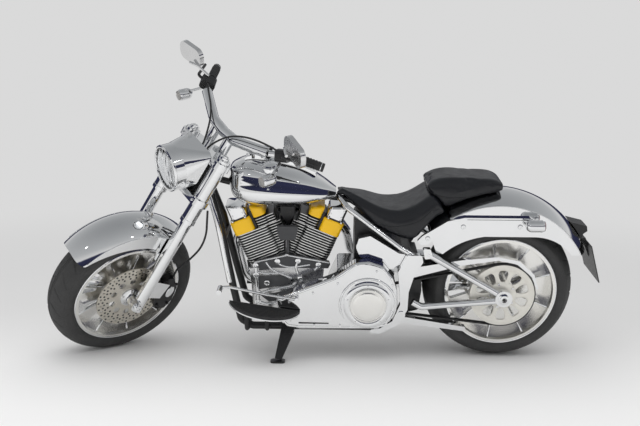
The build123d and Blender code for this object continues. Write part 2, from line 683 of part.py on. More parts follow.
MUFFLER_Y = -248.0
MUFFLER_RADIUS = 43.0
HEADER_RADIUS = 22.0
PORT_Y = -FIN_WIDTH / 2 + 2 - FIT
mufflers = [  # front end, rear end, height
    (600.0, -40.0, 236.0),
    (540.0, -100.0, 338.0),
]
headers = [
    [(1108, PORT_Y, 608), (1108, -142, 608), (1162, -158, 460), (1122, -160, 280), (980, -168, 228),
     (720, -214, 236), (602, MUFFLER_Y, 236)],
    [(732, PORT_Y, 608), (732, -142, 608), (660, -166, 500), (640, -214, 392), (542, MUFFLER_Y, 338)],
]
with BuildPart() as exhaust:
    for (front_x, rear_x, z), header in zip(mufflers, headers):
        tube(header, HEADER_RADIUS, bend=52)
        side = Plane(origin=(0, MUFFLER_Y, z), x_dir=(1, 0, 0), z_dir=(0, -1, 0))
        with BuildSketch(side):
            with BuildLine():
                Polyline(
                    (front_x, 0), (front_x, 0.55 * MUFFLER_RADIUS), (front_x - 60, MUFFLER_RADIUS),
                    (rear_x, MUFFLER_RADIUS), (rear_x, MUFFLER_RADIUS - 6), (rear_x + 60, MUFFLER_RADIUS - 6),
                    (rear_x + 60, 0), close=True,
                )
            make_face()
        revolve(axis=Axis(side.origin, (1, 0, 0)))

# --------------------------------------------------------------------------- the frame
HEAD_LOW = LOWER_CLAMP + CLAMP_THICKNESS / 2 + FIT
HEAD_HIGH = UPPER_CLAMP - CLAMP_THICKNESS / 2 - FIT
RAIL_Y = 118.0
RAIL_Z = 160.0
down_tube = [
    (1262, 20, 790), (1206, 66, 610), (1150, 104, 330), (1118, RAIL_Y, RAIL_Z + 30),
    (1070, RAIL_Y, RAIL_Z), (545, RAIL_Y, RAIL_Z),
]
TUNNEL_HALF = 30.0  # half the width of the tank's tunnel over the backbone

# the side stand: its foot on the ground plane, its hinge square to both ways of the leg
ground = Plane(parked.inverse())
stand_pivot = Vector(*STAND_PIVOT)
foot_print = (parked * Pos(*STAND_FOOT)).position
stand_foot = ground.from_local_coords((foot_print.X, foot_print.Y, STAND_PAD))
leg_way = (stand_foot - stand_pivot).normalized()
stand_axis = leg_way.cross(Vector(*STAND_FOLDED)).normalized()
stand_swing = leg_way.get_angle(Vector(*STAND_FOLDED))
STAND_EYE = 16.0

with BuildPart() as frame_tubes:
    for path in (down_tube, mirrored(down_tube)):
        tube(path, TUBE_RADIUS, bend=28)
    tube([(1256, 0, 800), (1120, 0, 764), (650, 0, 704), (530, 0, 618)], 14, bend=80)
    for radius, mode in ((HEAD_RADIUS, Mode.ADD), (STEM_RADIUS + FIT, Mode.SUBTRACT)):
        with BuildSketch(fork_frame.offset(HEAD_LOW)):
            with Locations((STEERING_X, 0)):
                Circle(radius)
        extrude(amount=HEAD_HIGH - HEAD_LOW, mode=mode)
    for x in (1090, 600):
        tube([(x, -RAIL_Y, RAIL_Z), (x, RAIL_Y, RAIL_Z)], TUBE_RADIUS - 3)
    tube([(1186, -78, 548), (1186, 78, 548)], 10)
    # pegs that hold the tank by its tunnel
    for x, z in ((1040, 753), (790, 720)):
        tube([(x, FIT - TUNNEL_HALF, z), (x, TUNNEL_HALF - FIT, z)], 11)
    # boss that carries the side stand, square to its hinge
    with BuildSketch(Plane(origin=stand_pivot - stand_axis * (STAND_EYE / 2 + FIT), z_dir=-stand_axis)):
        Circle(20)
    extrude(amount=34)

# polished rear frame: seat rails and the castings round the swing arm pivot
CAST_INNER = PRIMARY_INNER
CAST_OUTER = CAST_INNER + 30
BOX_HALF = 92.0  # half the width of the battery box that the castings hold
PIVOT_X = 458.0
PIVOT_Z = 246.0
with BuildPart() as rear_frame:
    for side in (1, -1):
        rail = [(697, 30, 721), (668, 104, 700), (440, 150, 538), (372, CAST_INNER + 8, 500)]
        tube(rail if side > 0 else mirrored(rail), 12, bend=60)
        plate(
            [
                (352, 516), (412, 516), (450, 440), (441, 366), (436, 294), (466, 216), (520, 180),
                (560, 176), (560, 158), (516, 158), (437, 202), (404, 270), (402, 350), (380, 430), (346, 486),
            ],
            side * CAST_INNER, side * CAST_OUTER, corner=8,
        )
        plate([(560, RAIL_Z + 12), (560, RAIL_Z - 10), (530, RAIL_Z - 10), (520, RAIL_Z + 12)], side * (RAIL_Y + TUBE_RADIUS + FIT), side * (CAST_INNER + 4))
        plate([(412, 498), (412, 472), (384, 472), (384, 498)], side * (BOX_HALF + FIT), side * (CAST_INNER + 2))
        tube([(PIVOT_X - 28, side * CAST_INNER, PIVOT_Z), (PIVOT_X - 28, side * (CAST_OUTER + 4), PIVOT_Z)], 17)

# swing arm: lower tube, diagonal and axle carrier each side, cross tube, axle
ARM_Y = PULLEY_INNER_Y + PULLEY_WIDTH + 6 + TUBE_RADIUS
AXLE_Z = TYRE_RADIUS
with BuildPart() as swing_arm:
    for side in (1, -1):
        lower = [(384, ARM_Y, 302), (346, ARM_Y, 280), (18, ARM_Y, AXLE_Z - 14)]
        upper = [(330, ARM_Y, 522), (20, ARM_Y, AXLE_Z + 16)]
        for path in (lower, upper):
            tube(path if side > 0 else mirrored(path), TUBE_RADIUS - 1, bend=30)
        plate(
            [(350, 545), (318, 545), (306, 505), (340, 500)], side * (ARM_Y - 14), side * (ARM_Y + 14), corner=6
        )
        with BuildSketch(Plane.XZ.offset(-side * (ARM_Y - 15))):
            with Locations((0, AXLE_Z)):
                Circle(36)
        extrude(amount=-side * 34)
    # ear that carries the rear caliper
    plate([(20, 345), (130, 405), (120, 455), (50, 445)], -140 - FIT, -ARM_Y + 6)
    with BuildSketch(Plane.XZ.offset(-ARM_Y - 26)):
        with Locations((0, AXLE_Z)):
            Circle(AXLE_RADIUS)
    extrude(amount=2 * (ARM_Y + 26))

# ------------------------------------------------------------------- tank and seating
REAR_FENDER_RADIUS = 430.0
REAR_FENDER_HALF = 140.0
REAR_FENDER_SHOULDER = 390.0
REAR_FENDER_CENTRE = (28.0, 332.0)  # middle of its arc, ahead of and above the axle
SEAT_GAP = 3.0


def lofted(sections):
    """Add a body lofted through rounded sections: place, half width, bottom, top, corner."""
    rings = []
    for x, half, low, high, corner in sections:
        across = Plane(origin=(x, 0, (low + high) / 2), x_dir=(0, 1, 0), z_dir=(1, 0, 0))
        with BuildSketch(across, mode=Mode.PRIVATE) as ring:
            RectangleRounded(2 * half, high - low, min(corner, (high - low) / 2 - 1))
        rings.append(ring.sketch)
    loft(rings)


def clear_of_fender(gap):
    """Cut away whatever comes nearer to the rear fender than this gap."""
    with BuildSketch(Plane.XZ, mode=Mode.PRIVATE) as arch:
        with Locations(REAR_FENDER_CENTRE):
            Circle(REAR_FENDER_RADIUS + gap)
    extrude(arch.sketch, amount=2 * REAR_FENDER_HALF, both=True, mode=Mode.SUBTRACT)


TANK_SECTIONS = [  # place along, half width, bottom, top, corner radius
    (1163, 46, 768, 846, 34),
    (1142, 104, 730, 868, 60),
    (1080, 152, 706, 886, 84),
    (980, 168, 704, 878, 82),
    (860, 146, 706, 846, 64),
    (770, 98, 714, 796, 38),
    (712, 46, 724, 756, 14),
]
with BuildPart() as fuel_tank:
    lofted(TANK_SECTIONS)
    # tunnel that clears the backbone
    plate(
        [(1250, 830), (1120, 796), (690, 744), (640, 700), (640, 600), (1250, 600)],
        -TUNNEL_HALF, TUNNEL_HALF, mode=Mode.SUBTRACT,
    )

CONSOLE_HALF = 42.0
with BuildPart() as tank_console:
    plate(
        [(1096, 850), (1096, 892), (1070, 903), (1010, 900), (900, 876), (800, 832), (790, 780), (900, 820)],
        -CONSOLE_HALF, CONSOLE_HALF,
    )
    add(fuel_tank.part, mode=Mode.SUBTRACT)
    with BuildSketch(Plane(origin=(1030, 0, 894), x_dir=(1, 0, 0), z_dir=(0.12, 0, 0.99))):
        Circle(56)
    extrude(amount=22)
    add(fuel_tank.part, mode=Mode.SUBTRACT)



with BuildPart() as rider_seat:
    lofted([
        (706, 40, 739, 763, 11),
        (630, 86, 696, 733, 17),
        (540, 140, 624, 700, 36),
        (450, 166, 582, 688, 50),
        (360, 168, 566, 726, 54),
        (300, 150, 610, 774, 50),
        (262, 140, 660, 780, 46),
    ])
    clear_of_fender(SEAT_GAP)
    plate([(352, 880), (343, 790), (244, 687), (120, 600), (120, 880)], -200, 200, mode=Mode.SUBTRACT)
    plate([(720, 751), (640, 719), (500, 616), (500, 540), (720, 540)], -18, 18, mode=Mode.SUBTRACT)

with BuildPart() as pillion_seat:
    lofted([
        (352, 90, 764, 782, 8),
        (322, 110, 724, 802, 30),
        (276, 122, 700, 818, 44),
        (180, 126, 710, 820, 46),
        (70, 108, 744, 816, 32),
        (10, 80, 758, 792, 15),
    ])
    clear_of_fender(SEAT_GAP)
    plate([(349, 880), (340, 790), (241, 687), (200, 600), (500, 600), (500, 880)], -200, 200, mode=Mode.SUBTRACT)

fender_axis = Axis((REAR_FENDER_CENTRE[0], 0, REAR_FENDER_CENTRE[1]), (0, 1, 0))
with BuildPart() as rear_fender:
    with BuildSketch(Plane(origin=fender_axis.position, x_dir=(0, 1, 0), z_dir=(1, 0, 0))):
        fender_section(REAR_FENDER_RADIUS, REAR_FENDER_HALF, REAR_FENDER_SHOULDER, 120, FENDER_SKIN)
    revolve(axis=fender_axis)
    # outline in side view
    with BuildSketch(Plane.XZ):
        with BuildLine():
            Polyline((330, 760), (312, 580), (290, 516), (262, 508))
            ThreePointArc((262, 508), (180, 562), (90, 588))
            Line((90, 588), (-120, 588))
            ThreePointArc((-120, 588), (-210, 566), (-280, 508))
            Polyline((-280, 508), (-400, 508), (-440, 760), (330, 760))
        make_face()
    extrude(amount=REAR_FENDER_HALF + 5, both=True, mode=Mode.INTERSECT)

# chrome struts along the fender sides, from the seat corner to the rear lamps
STRUT_INNER = REAR_FENDER_HALF + FIT
STRUT_THICKNESS = 18.0
RACK_HOLES = [(185.0, 637.0), (-50.0, 639.0)]
RACK_HOLE_RADIUS = 4.25
with BuildPart() as fender_struts:
    for side in (1, -1):
        plate(
            [
                (352, 594), (374, 570), (354, 554), (326, 558), (296, 588), (240, 612), (150, 618),
                (-110, 618), (-126, 632), (-118, 668), (-90, 676), (180, 676), (250, 660),
            ],
            side * STRUT_INNER, side * (STRUT_INNER + STRUT_THICKNESS), corner=8,
        )
    # rack holes
    with BuildSketch(Plane.XZ):
        with Locations(*RACK_HOLES):
            Circle(RACK_HOLE_RADIUS)
    extrude(amount=2 * STRUT_INNER, both=True, mode=Mode.SUBTRACT)

REAR_SIGNAL = (-100.0, 196.0, 656.0)
with BuildPart() as rear_turn_signals:
    for side in (1, -1):
        x, y, z = REAR_SIGNAL
        bullet((x, side * y, z), 76, SIGNAL_RADIUS, -1)
        tube([(x, side * (STRUT_INNER + STRUT_THICKNESS + FIT), z), (x, side * (y - 12), z)], 10)

with BuildPart() as tail_light:
    plate(
        [(-280, 626), (-362, 606), (-366, 584), (-350, 572), (-342, 548), (-300, 548), (-260, 600)],
        -44, 44, corner=4,
    )
    clear_of_fender(FIT)

PLATE_TOP = (-367.0, 538.0)
PLATE_LOW = (-416.0, 374.0)
PLATE_HALF = 112.0
with BuildPart() as number_plate:
    plate(
        [PLATE_TOP, PLATE_LOW, (PLATE_LOW[0] - 4, PLATE_LOW[1] + 1), (PLATE_TOP[0] - 4, PLATE_TOP[1] + 1)],
        -PLATE_HALF, PLATE_HALF,
    )
    plate([(-347, 547), (-368, 505), (-383, 470), (-393, 460), (PLATE_TOP[0], PLATE_TOP[1] + 9)], -30, 30)

# ------------------------------------------------------------- covers, boxes, controls
with BuildPart() as battery_box:
    plate(
        [(632, 640), (590, 640), (520, 590), (470, 556), (424, 504), (386, 496), (386, 474), (458, 470), (530, 440), (632, 440)],
        -BOX_HALF, BOX_HALF, corner=8,
    )
    plate([(760, 762), (500, 700), (500, 560), (760, 640)], -TUNNEL_HALF, TUNNEL_HALF, mode=Mode.SUBTRACT)

with BuildPart() as side_covers:
    for side in (1, -1):
        plate(
            [(626, 534), (616, 576), (568, 588), (446, 512), (418, 508), (420, 474), (480, 440), (610, 496)],
            side * 112, side * 148, corner=7,
        )
        plate([(600, 540), (570, 540), (570, 500), (600, 500)], side * (BOX_HALF + FIT), side * 113)

with BuildPart() as splash_guard:
    plate([(404, 470), (352, 470), (340, 330), (352, 240), (404, 226)], -112, 112, corner=8)

GUARD_INNER = REAR_TYRE["half_width"] + 6
GUARD_OUTER = CAST_INNER - FIT
with BuildPart() as belt_guards:
    upper = [
        (400, 400), (404, 446), (180, 486), (30, 502), (-60, 484), (-128, 424), (-152, 360),
        (-143, 356), (-118, 414), (-52, 470), (28, 486), (180, 462), (330, 420),
    ]
    plate(upper, GUARD_INNER, GUARD_OUTER)
    plate([(428, 196), (426, 224), (398, 220), (150, 178), (150, 158), (300, 178)], GUARD_INNER, GUARD_OUTER)

BOARD_TILT = 9.0
with BuildPart() as footboards:
    for side in (1, -1):
        board = Plane(origin=(1010, side * 212, 280), x_dir=(cos(radians(BOARD_TILT)), 0, sin(radians(BOARD_TILT))), z_dir=(-sin(radians(BOARD_TILT)), 0, cos(radians(BOARD_TILT))))
        with BuildSketch(board):
            with BuildLine():
                Line((-150, 0), (150, 0))
                ThreePointArc((150, 0), (0, side * 112), (-150, 0))
            make_face()
        extrude(amount=16)
        for x, z in ((1086, 294), (1000, 282)):
            tube([(x, side * 218, z), (x, side * 206, RAIL_Z + 26), (x, side * (RAIL_Y + TUBE_RADIUS + 4), RAIL_Z)], 9, bend=24)

with BuildPart() as foot_controls:
    tube([(1186, 300, 398), (1186, 262, 398), (1150, 250, 396), (1000, 224, 350), (872, 224, 330)], 6, bend=14)
    tube([(1186, 262, 398), (1186, 318, 398)], 11)
    tube([(872, 232, 330), (872, PRIMARY_OUTER + FIT, 330)], 9)
    tube([(1160, -262, 372), (1138, -238, 352), (1120, -192, 312), (1112, -192, 244)], 7, bend=16)
    plate([(1095.3, 225), (1122, 225), (1122, 255), (1095.3, 255)], -224, -192)
    plate([(1190, 380), (1186, 396), (1130, 372), (1134, 356)], -290, -236)
with BuildPart() as rear_caliper:
    plate([(40, 420), (120, 400), (130, 440), (96, 478), (30, 480)], -140, -106, corner=8)
    with BuildSketch(Plane(origin=(0, 0, TYRE_RADIUS), x_dir=(1, 0, 0), z_dir=(0, -1, 0)).offset(REAR_HUB_HALF + FIT - 5)):
        Circle(REAR_DISC_RADIUS + 6)
    extrude(amount=DISC_THICKNESS + 10, mode=Mode.SUBTRACT)

with BuildPart() as side_stand:
    with BuildSketch(Plane(origin=stand_pivot + leg_way * 6, x_dir=stand_axis, z_dir=leg_way)):
        RectangleRounded(13, 60, 5)
    with BuildSketch(Plane(origin=stand_foot - leg_way * 4, x_dir=stand_axis, z_dir=leg_way)):
        RectangleRounded(11, 30, 4)
    loft()
    with BuildSketch(Plane(origin=stand_pivot - stand_axis * STAND_EYE / 2, z_dir=stand_axis)):
        Circle(26)
    extrude(amount=STAND_EYE)
    with BuildSketch(ground):
        with Locations((foot_print.X, foot_print.Y)):
            RectangleRounded(62, 46, 14)
    extrude(amount=STAND_PAD)
    with BuildSketch(ground):
        Rectangle(6 * TYRE_RADIUS, 6 * TYRE_RADIUS)
    extrude(amount=-STAND_PAD * 4, mode=Mode.SUBTRACT)

# ------------------------------------------------------------------- writing the files
on_frame = dict(
    frame_tubes=frame_tubes, rear_frame=rear_frame, swing_arm=swing_arm, engine_case=engine_case,
    cylinders=cylinders, cylinder_heads=cylinder_heads, rocker_covers=rocker_covers,
    horn_cover=horn_cover, primary_cover=primary_cover, derby_cover=derby_cover, gearbox=gearbox,
    cam_cover=cam_cover, air_cleaner=air_cleaner, exhaust=exhaust, fuel_tank=fuel_tank,
    tank_console=tank_console, rider_seat=rider_seat, pillion_seat=pillion_seat,
    rear_fender=rear_fender, fender_struts=fender_struts, rear_turn_signals=rear_turn_signals,
    tail_light=tail_light, number_plate=number_plate, battery_box=battery_box,
    side_covers=side_covers, splash_guard=splash_guard, belt_guards=belt_guards,
    footboards=footboards, foot_controls=foot_controls,
    rear_caliper=rear_caliper, side_stand=side_stand,
)
on_steering = dict(
    headlight_nacelle=headlight_nacelle, headlight=headlight, front_turn_signals=front_turn_signals,
)
on_fork = dict(
    fork_legs=fork_legs, triple_clamps=triple_clamps, handlebar=handlebar, grips=grips,
    hand_controls=hand_controls, mirrors=mirrors, front_fender=front_fender,
    front_caliper=front_caliper, brake_hose=brake_hose, control_cables=control_cables,
    front_tyre=front_tyre, front_rim=front_rim, front_disc=front_disc,
)
on_rear_hub = dict(
    rear_tyre=rear_tyre, rear_rim=rear_rim, rear_disc=rear_disc, rear_pulley=rear_pulley,
    drive_belt=drive_belt,
)

os.makedirs("parts", exist_ok=True)
for place, pieces in (
    (parked, on_frame), (parked * steered, on_steering), (parked * front_hub, on_fork),
    (parked * rear_hub, on_rear_hub),
):
    for name, piece in pieces.items():
        solid = place * piece.part
        solid.label = name
        export_step(solid, f"parts/{name}.step")
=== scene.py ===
"""Cruiser motorcycle: finishes, tread, padding, fasteners and studio, laid out as an add-on."""
import json
from math import cos, pi, radians, sin, tau

import bmesh
import bpy
import numpy as np
from bpy.props import FloatProperty, FloatVectorProperty, IntProperty, PointerProperty
from mathutils import Matrix
from mathutils.bvhtree import BVHTree


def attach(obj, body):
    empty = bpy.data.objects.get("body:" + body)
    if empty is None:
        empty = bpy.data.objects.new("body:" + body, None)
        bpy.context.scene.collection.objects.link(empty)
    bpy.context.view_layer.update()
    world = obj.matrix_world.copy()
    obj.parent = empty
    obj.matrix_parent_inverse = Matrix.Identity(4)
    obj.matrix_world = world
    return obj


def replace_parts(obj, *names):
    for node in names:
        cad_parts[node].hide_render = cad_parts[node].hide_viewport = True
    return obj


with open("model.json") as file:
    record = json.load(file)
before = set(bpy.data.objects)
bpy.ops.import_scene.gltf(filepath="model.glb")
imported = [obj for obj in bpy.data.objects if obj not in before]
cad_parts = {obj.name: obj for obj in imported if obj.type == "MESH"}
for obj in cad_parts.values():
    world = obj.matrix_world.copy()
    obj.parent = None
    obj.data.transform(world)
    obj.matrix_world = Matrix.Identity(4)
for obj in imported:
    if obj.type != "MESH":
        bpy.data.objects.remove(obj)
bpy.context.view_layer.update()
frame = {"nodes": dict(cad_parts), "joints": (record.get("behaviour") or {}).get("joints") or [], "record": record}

bl_info = {
    "name": "Cruiser Motorcycle Dressing",
    "version": (1, 0, 0),
    "blender": (4, 5, 0),
    "location": "3D View > Sidebar > Motorcycle",
    "description": "Adds finishes, tyres, seats, lamps, fasteners and a studio round the packed motorcycle",
    "category": "Object",
}

NODES = frame["nodes"]
SLOT_OF = {row["node"]: row["material_slot"] for row in frame["record"]["subparts"]}
BODY_OF = {node: body for body, nodes in frame["record"]["behaviour"]["bodies"].items() for node in nodes}
MM = 0.001

# ------------------------------------------------------------------ local frames, in millimetres
JOINTS = {joint["name"]: joint for joint in frame["joints"]}


def unit(vector):
    """Vector divided by its length."""
    vector = np.asarray(vector, float)
    return vector / np.linalg.norm(vector)


def upright_place():
    """Bike axes: Y along the rear axle, X level and forward, Z up; origin one tyre radius below it."""
    spin = JOINTS["rear_wheel_spin"]
    y = unit(spin["axis"])
    x = unit(np.cross(y, (0.0, 1.0, 0.0)))
    x = x * np.sign(x[0])
    z = np.cross(x, y)
    return np.column_stack((x, y, z)) * MM, np.array(spin["pos_m"]) - z * TYRE_RADIUS * MM


def fork_place():
    """Fork axes: Z up the steering axis, Y along the front axle, origin at the front axle's middle."""
    z = unit(JOINTS["steering"]["axis"])
    y = unit(JOINTS["front_wheel_spin"]["axis"])
    return np.column_stack((np.cross(y, z), y, z)) * MM, np.array(JOINTS["front_wheel_spin"]["pos_m"])


def turned_place():
    """Bike axes carried by the fork: the bike frame turned by the rake into the fork frame."""
    basis, origin = FORK
    c, s = cos(RAKE), sin(RAKE)
    turn = np.array(((c, 0.0, s), (0.0, 1.0, 0.0), (-s, 0.0, c)))
    return basis @ turn, origin - basis @ turn @ np.array((WHEELBASE, 0.0, TYRE_RADIUS))


TYRE_RADIUS = 325.0
WHEELBASE = 1665.0
RAKE = radians(31.0)  # of the steering axis, from upright
CRANK = (920.0, 0.0, 228.0)  # crankshaft, in bike axes
BANK = radians(22.5)  # lean of each bank of the engine, from upright
MERGE = 1e-6  # metres within which corners are one
CREASE = 38.0  # degrees past which an edge is shaded sharp
BIKE = upright_place()
FORK = fork_place()
STEERED = turned_place()
REAR_HUB = (BIKE[0], BIKE[1] + BIKE[0] @ np.array((0.0, 0.0, TYRE_RADIUS)))


def to_row(points, place):
    """Local millimetres to row metres: basis times point, plus origin."""
    basis, origin = place
    return np.atleast_2d(np.asarray(points, float)) @ basis.T + origin


# ------------------------------------------------------------------ surfaces
def quads(rows, cols, close_rows=False, close_cols=False):
    """Faces of a grid: each cell joins a corner to the next column and row, wrapped where closed."""
    r = np.arange(rows if close_rows else rows - 1)[:, None]
    c = np.arange(cols if close_cols else cols - 1)[None, :]
    ahead, up = (c + 1) % cols, (r + 1) % rows
    return np.stack((r * cols + c, r * cols + ahead, up * cols + ahead, up * cols + c), -1).reshape(-1, 4)


def axes_round(axis):
    """Two unit vectors square to an axis and to each other."""
    axis = unit(axis)
    side = np.cross(axis, (0.0, 0.0, 1.0) if abs(axis[2]) < 0.9 else (1.0, 0.0, 0.0))
    side = unit(side)
    return side, np.cross(axis, side)


def revolve(profile, sides=32, centre=(0, 0, 0), axis=(0, 1, 0)):
    """Surface of revolution: centre + along * axis + radius * (cos t * side + sin t * lift)."""
    profile = np.asarray(profile, float)
    side, lift = axes_round(axis)
    t = np.arange(sides) * tau / sides
    outward = np.cos(t)[:, None] * side + np.sin(t)[:, None] * lift
    radius, along = profile[:, 0, None, None], profile[:, 1, None, None]
    points = np.asarray(centre) + along * unit(axis) + radius * outward
    return points.reshape(-1, 3), quads(len(profile), sides, False, True)


def flow(points, count):
    """Catmull-Rom curve through points, at even steps: each span's tangents come from its neighbours."""
    p = np.asarray(points, float)
    p = np.vstack((2 * p[0] - p[1], p, 2 * p[-1] - p[-2]))
    t = np.linspace(0, len(p) - 3 - 1e-9, count)
    i = t.astype(int)
    f = (t - i)[:, None]
    a, b, c, d = p[i], p[i + 1], p[i + 2], p[i + 3]
    return 0.5 * (2 * b + (c - a) * f + (2 * a - 5 * b + 4 * c - d) * f**2 + (3 * b - a - 3 * c + d) * f**3)


def circle(radius, sides=12):
    """Section ring: radius * (cos t, sin t)."""
    t = np.arange(sides) * tau / sides
    return np.column_stack((np.cos(t), np.sin(t))) * radius


def rounded(width, height, corner, steps=5):
    """Section ring of a rounded rectangle: corner centre plus corner * (cos t, sin t), in four quarters."""
    t = (np.arange(4)[:, None] * pi / 2 + np.linspace(0, pi / 2, steps)[None, :]).ravel()
    cx = np.repeat((1, -1, -1, 1), steps) * (width / 2 - corner)
    cy = np.repeat((1, 1, -1, -1), steps) * (height / 2 - corner)
    return np.column_stack((cx + corner * np.cos(t), cy + corner * np.sin(t)))


def sweep(path, section, scale=None, up=(0, 0, 1), closed=False):
    """Section carried along a path: path + scale * (section x * side + section y * lift)."""
    path = np.asarray(path, float)
    ahead = np.roll(path, -1, 0) - np.roll(path, 1, 0) if closed else np.gradient(path, axis=0)
    ahead /= np.linalg.norm(ahead, axis=1)[:, None]
    side = np.cross(ahead, up)
    side /= np.linalg.norm(side, axis=1)[:, None]
    lift = np.cross(side, ahead)
    scale = np.ones(len(path)) if scale is None else np.asarray(scale, float)
    if not closed:
        path, side, lift = (np.vstack((a[:1], a, a[-1:])) for a in (path, side, lift))
        scale = np.concatenate(((0.0,), scale, (0.0,)))
    around = section[None, :, 0, None] * side[:, None] + section[None, :, 1, None] * lift[:, None]
    points = path[:, None] + scale[:, None, None] * around
    return points.reshape(-1, 3), quads(len(path), len(section), closed, True)


def slab(outline, low, high, edge=1.5):
    """Plate square to Y: the outline at both faces, drawn in towards its middle at the rounded edges."""
    outline = np.asarray(outline, float)
    middle = outline.mean(0)
    reach = np.linalg.norm(outline - middle, axis=1)[:, None]
    inset = (outline - middle) * (1 - edge / reach) + middle
    tip = middle + 0 * outline
    rings = [
        (tip, low), (inset, low), (outline, low + edge), (outline, high - edge), (inset, high), (tip, high),
    ]
    points = np.vstack([np.column_stack((row[:, 0], np.full(len(row), y), row[:, 1])) for row, y in rings])
    return points, quads(len(rings), len(outline), False, True)


def rod(path, radius, sides=10, up=(0, 1, 0), scale=None):
    """Round bar: a circle carried along a path."""
    return sweep(path, circle(radius, sides), scale, up)


def arch(centre, radius, degrees, count, y):
    """Points on an arc square to Y: centre + radius * (cos t, sin t), between two angles in degrees."""
    t = np.radians(np.linspace(*degrees, count))
    x, z = centre[0] + radius * np.cos(t), centre[1] + radius * np.sin(t)
    return np.column_stack((x, np.full(count, y), z))


def ring(profile):
    """Closed profile: its first point again at the end."""
    return [*profile, profile[0]]


def moved(part, offset):
    """The part with an offset added."""
    return part[0] + np.asarray(offset, float), part[1]


def flipped(part):
    """The part with Y turned round."""
    return part[0] * (1, -1, 1), part[1]


def both(part):
    """The part and its mirror image across the middle."""
    return [part, flipped(part)]


def stamp(part, places):
    """The same part repeated: each place is added to every point."""
    points, faces = part
    places = np.atleast_2d(np.asarray(places, float))
    every = (places[:, None] + points[None]).reshape(-1, 3)
    steps = np.arange(len(places))[:, None, None] * len(points)
    return every, (faces[None] + steps).reshape(-1, faces.shape[1])


def bolt(radius, height, axis=(0, 1, 0), sides=14):
    """Round bolt head with a recess: a revolved profile of wall, chamfer, face and socket."""
    r, h = radius, height
    profile = [
        (0, 0), (r, 0), (r, 0.65 * h), (0.86 * r, h), (0.48 * r, h), (0.42 * r, 0.45 * h), (0, 0.45 * h),
    ]
    return revolve(profile, sides, (0, 0, 0), axis)


def make(name, parts, place, body, finish, crease=CREASE):
    """One closed mesh from local grids: points to row metres, doubles merged and normals outward."""
    parts = [parts] if isinstance(parts, tuple) else list(parts)
    starts = np.cumsum([0] + [len(p) for p, _ in parts[:-1]])
    points = to_row(np.concatenate([p for p, _ in parts]), place)
    faces = np.concatenate([f + s for (_, f), s in zip(parts, starts)])
    mesh = bpy.data.meshes.new(name)
    mesh.from_pydata(points.tolist(), [], faces.tolist())
    shape = bmesh.new()
    shape.from_mesh(mesh)
    bmesh.ops.remove_doubles(shape, verts=shape.verts, dist=MERGE)
    bmesh.ops.dissolve_degenerate(shape, edges=shape.edges, dist=MERGE)
    bmesh.ops.recalc_face_normals(shape, faces=shape.faces)
    shape.to_mesh(mesh)
    shape.free()
    return add_piece(name, mesh, body, finish, crease)


def add_piece(name, mesh, body, finish, crease):
    """Link a finished mesh as a piece that rides on a body."""
    mesh.shade_smooth()
    mesh.set_sharp_from_angle(angle=radians(crease))
    piece = bpy.data.objects.new(name, mesh)
    bpy.context.scene.collection.objects.link(piece)
    piece.data.materials.clear()
    piece.data.materials.append(FINISHES[finish])
    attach(piece, body)
    return piece


def carrier(place, body):
    """A make() for one local frame and one body; the slot that put() takes is not used."""

    def put(name, parts, finish, slot=None, crease=CREASE):
        """make() with this place and body."""
        return make(name, parts, place, body, finish, crease)

    return put


on_frame = carrier(BIKE, "frame")
on_rear_axle = carrier(REAR_HUB, "frame")
on_fork = carrier(FORK, "fork")
on_steered = carrier(STEERED, "fork")
on_front_wheel = carrier(FORK, "front_wheel")
on_rear_wheel = carrier(REAR_HUB, "rear_wheel")

# ------------------------------------------------------------------ finishes
FINISHES = {}
WAVE_DEPTH, GRAIN_DEPTH = 0.002, 0.0006  # metres of bump in metal and in coats


class Nodes:
    """A node tree being built. put() adds a node, sets or links its sockets and returns it."""

    def __init__(self, tree):
        self.tree = tree

    def put(self, kind, sockets=None, **settings):
        """New node of a kind, with its settings and what goes into each of its sockets."""
        node = self.tree.nodes.new("ShaderNode" + kind)
        for key, value in settings.items():
            setattr(node, key, value)
        for key, value in (sockets or {}).items():
            self.feed(node.inputs[key], value)
        return node

    def feed(self, socket, value):
        """Link another node's output to a socket, or set its value."""
        if isinstance(value, bpy.types.NodeSocket):
            self.tree.links.new(value, socket)
        else:
            socket.default_value = value


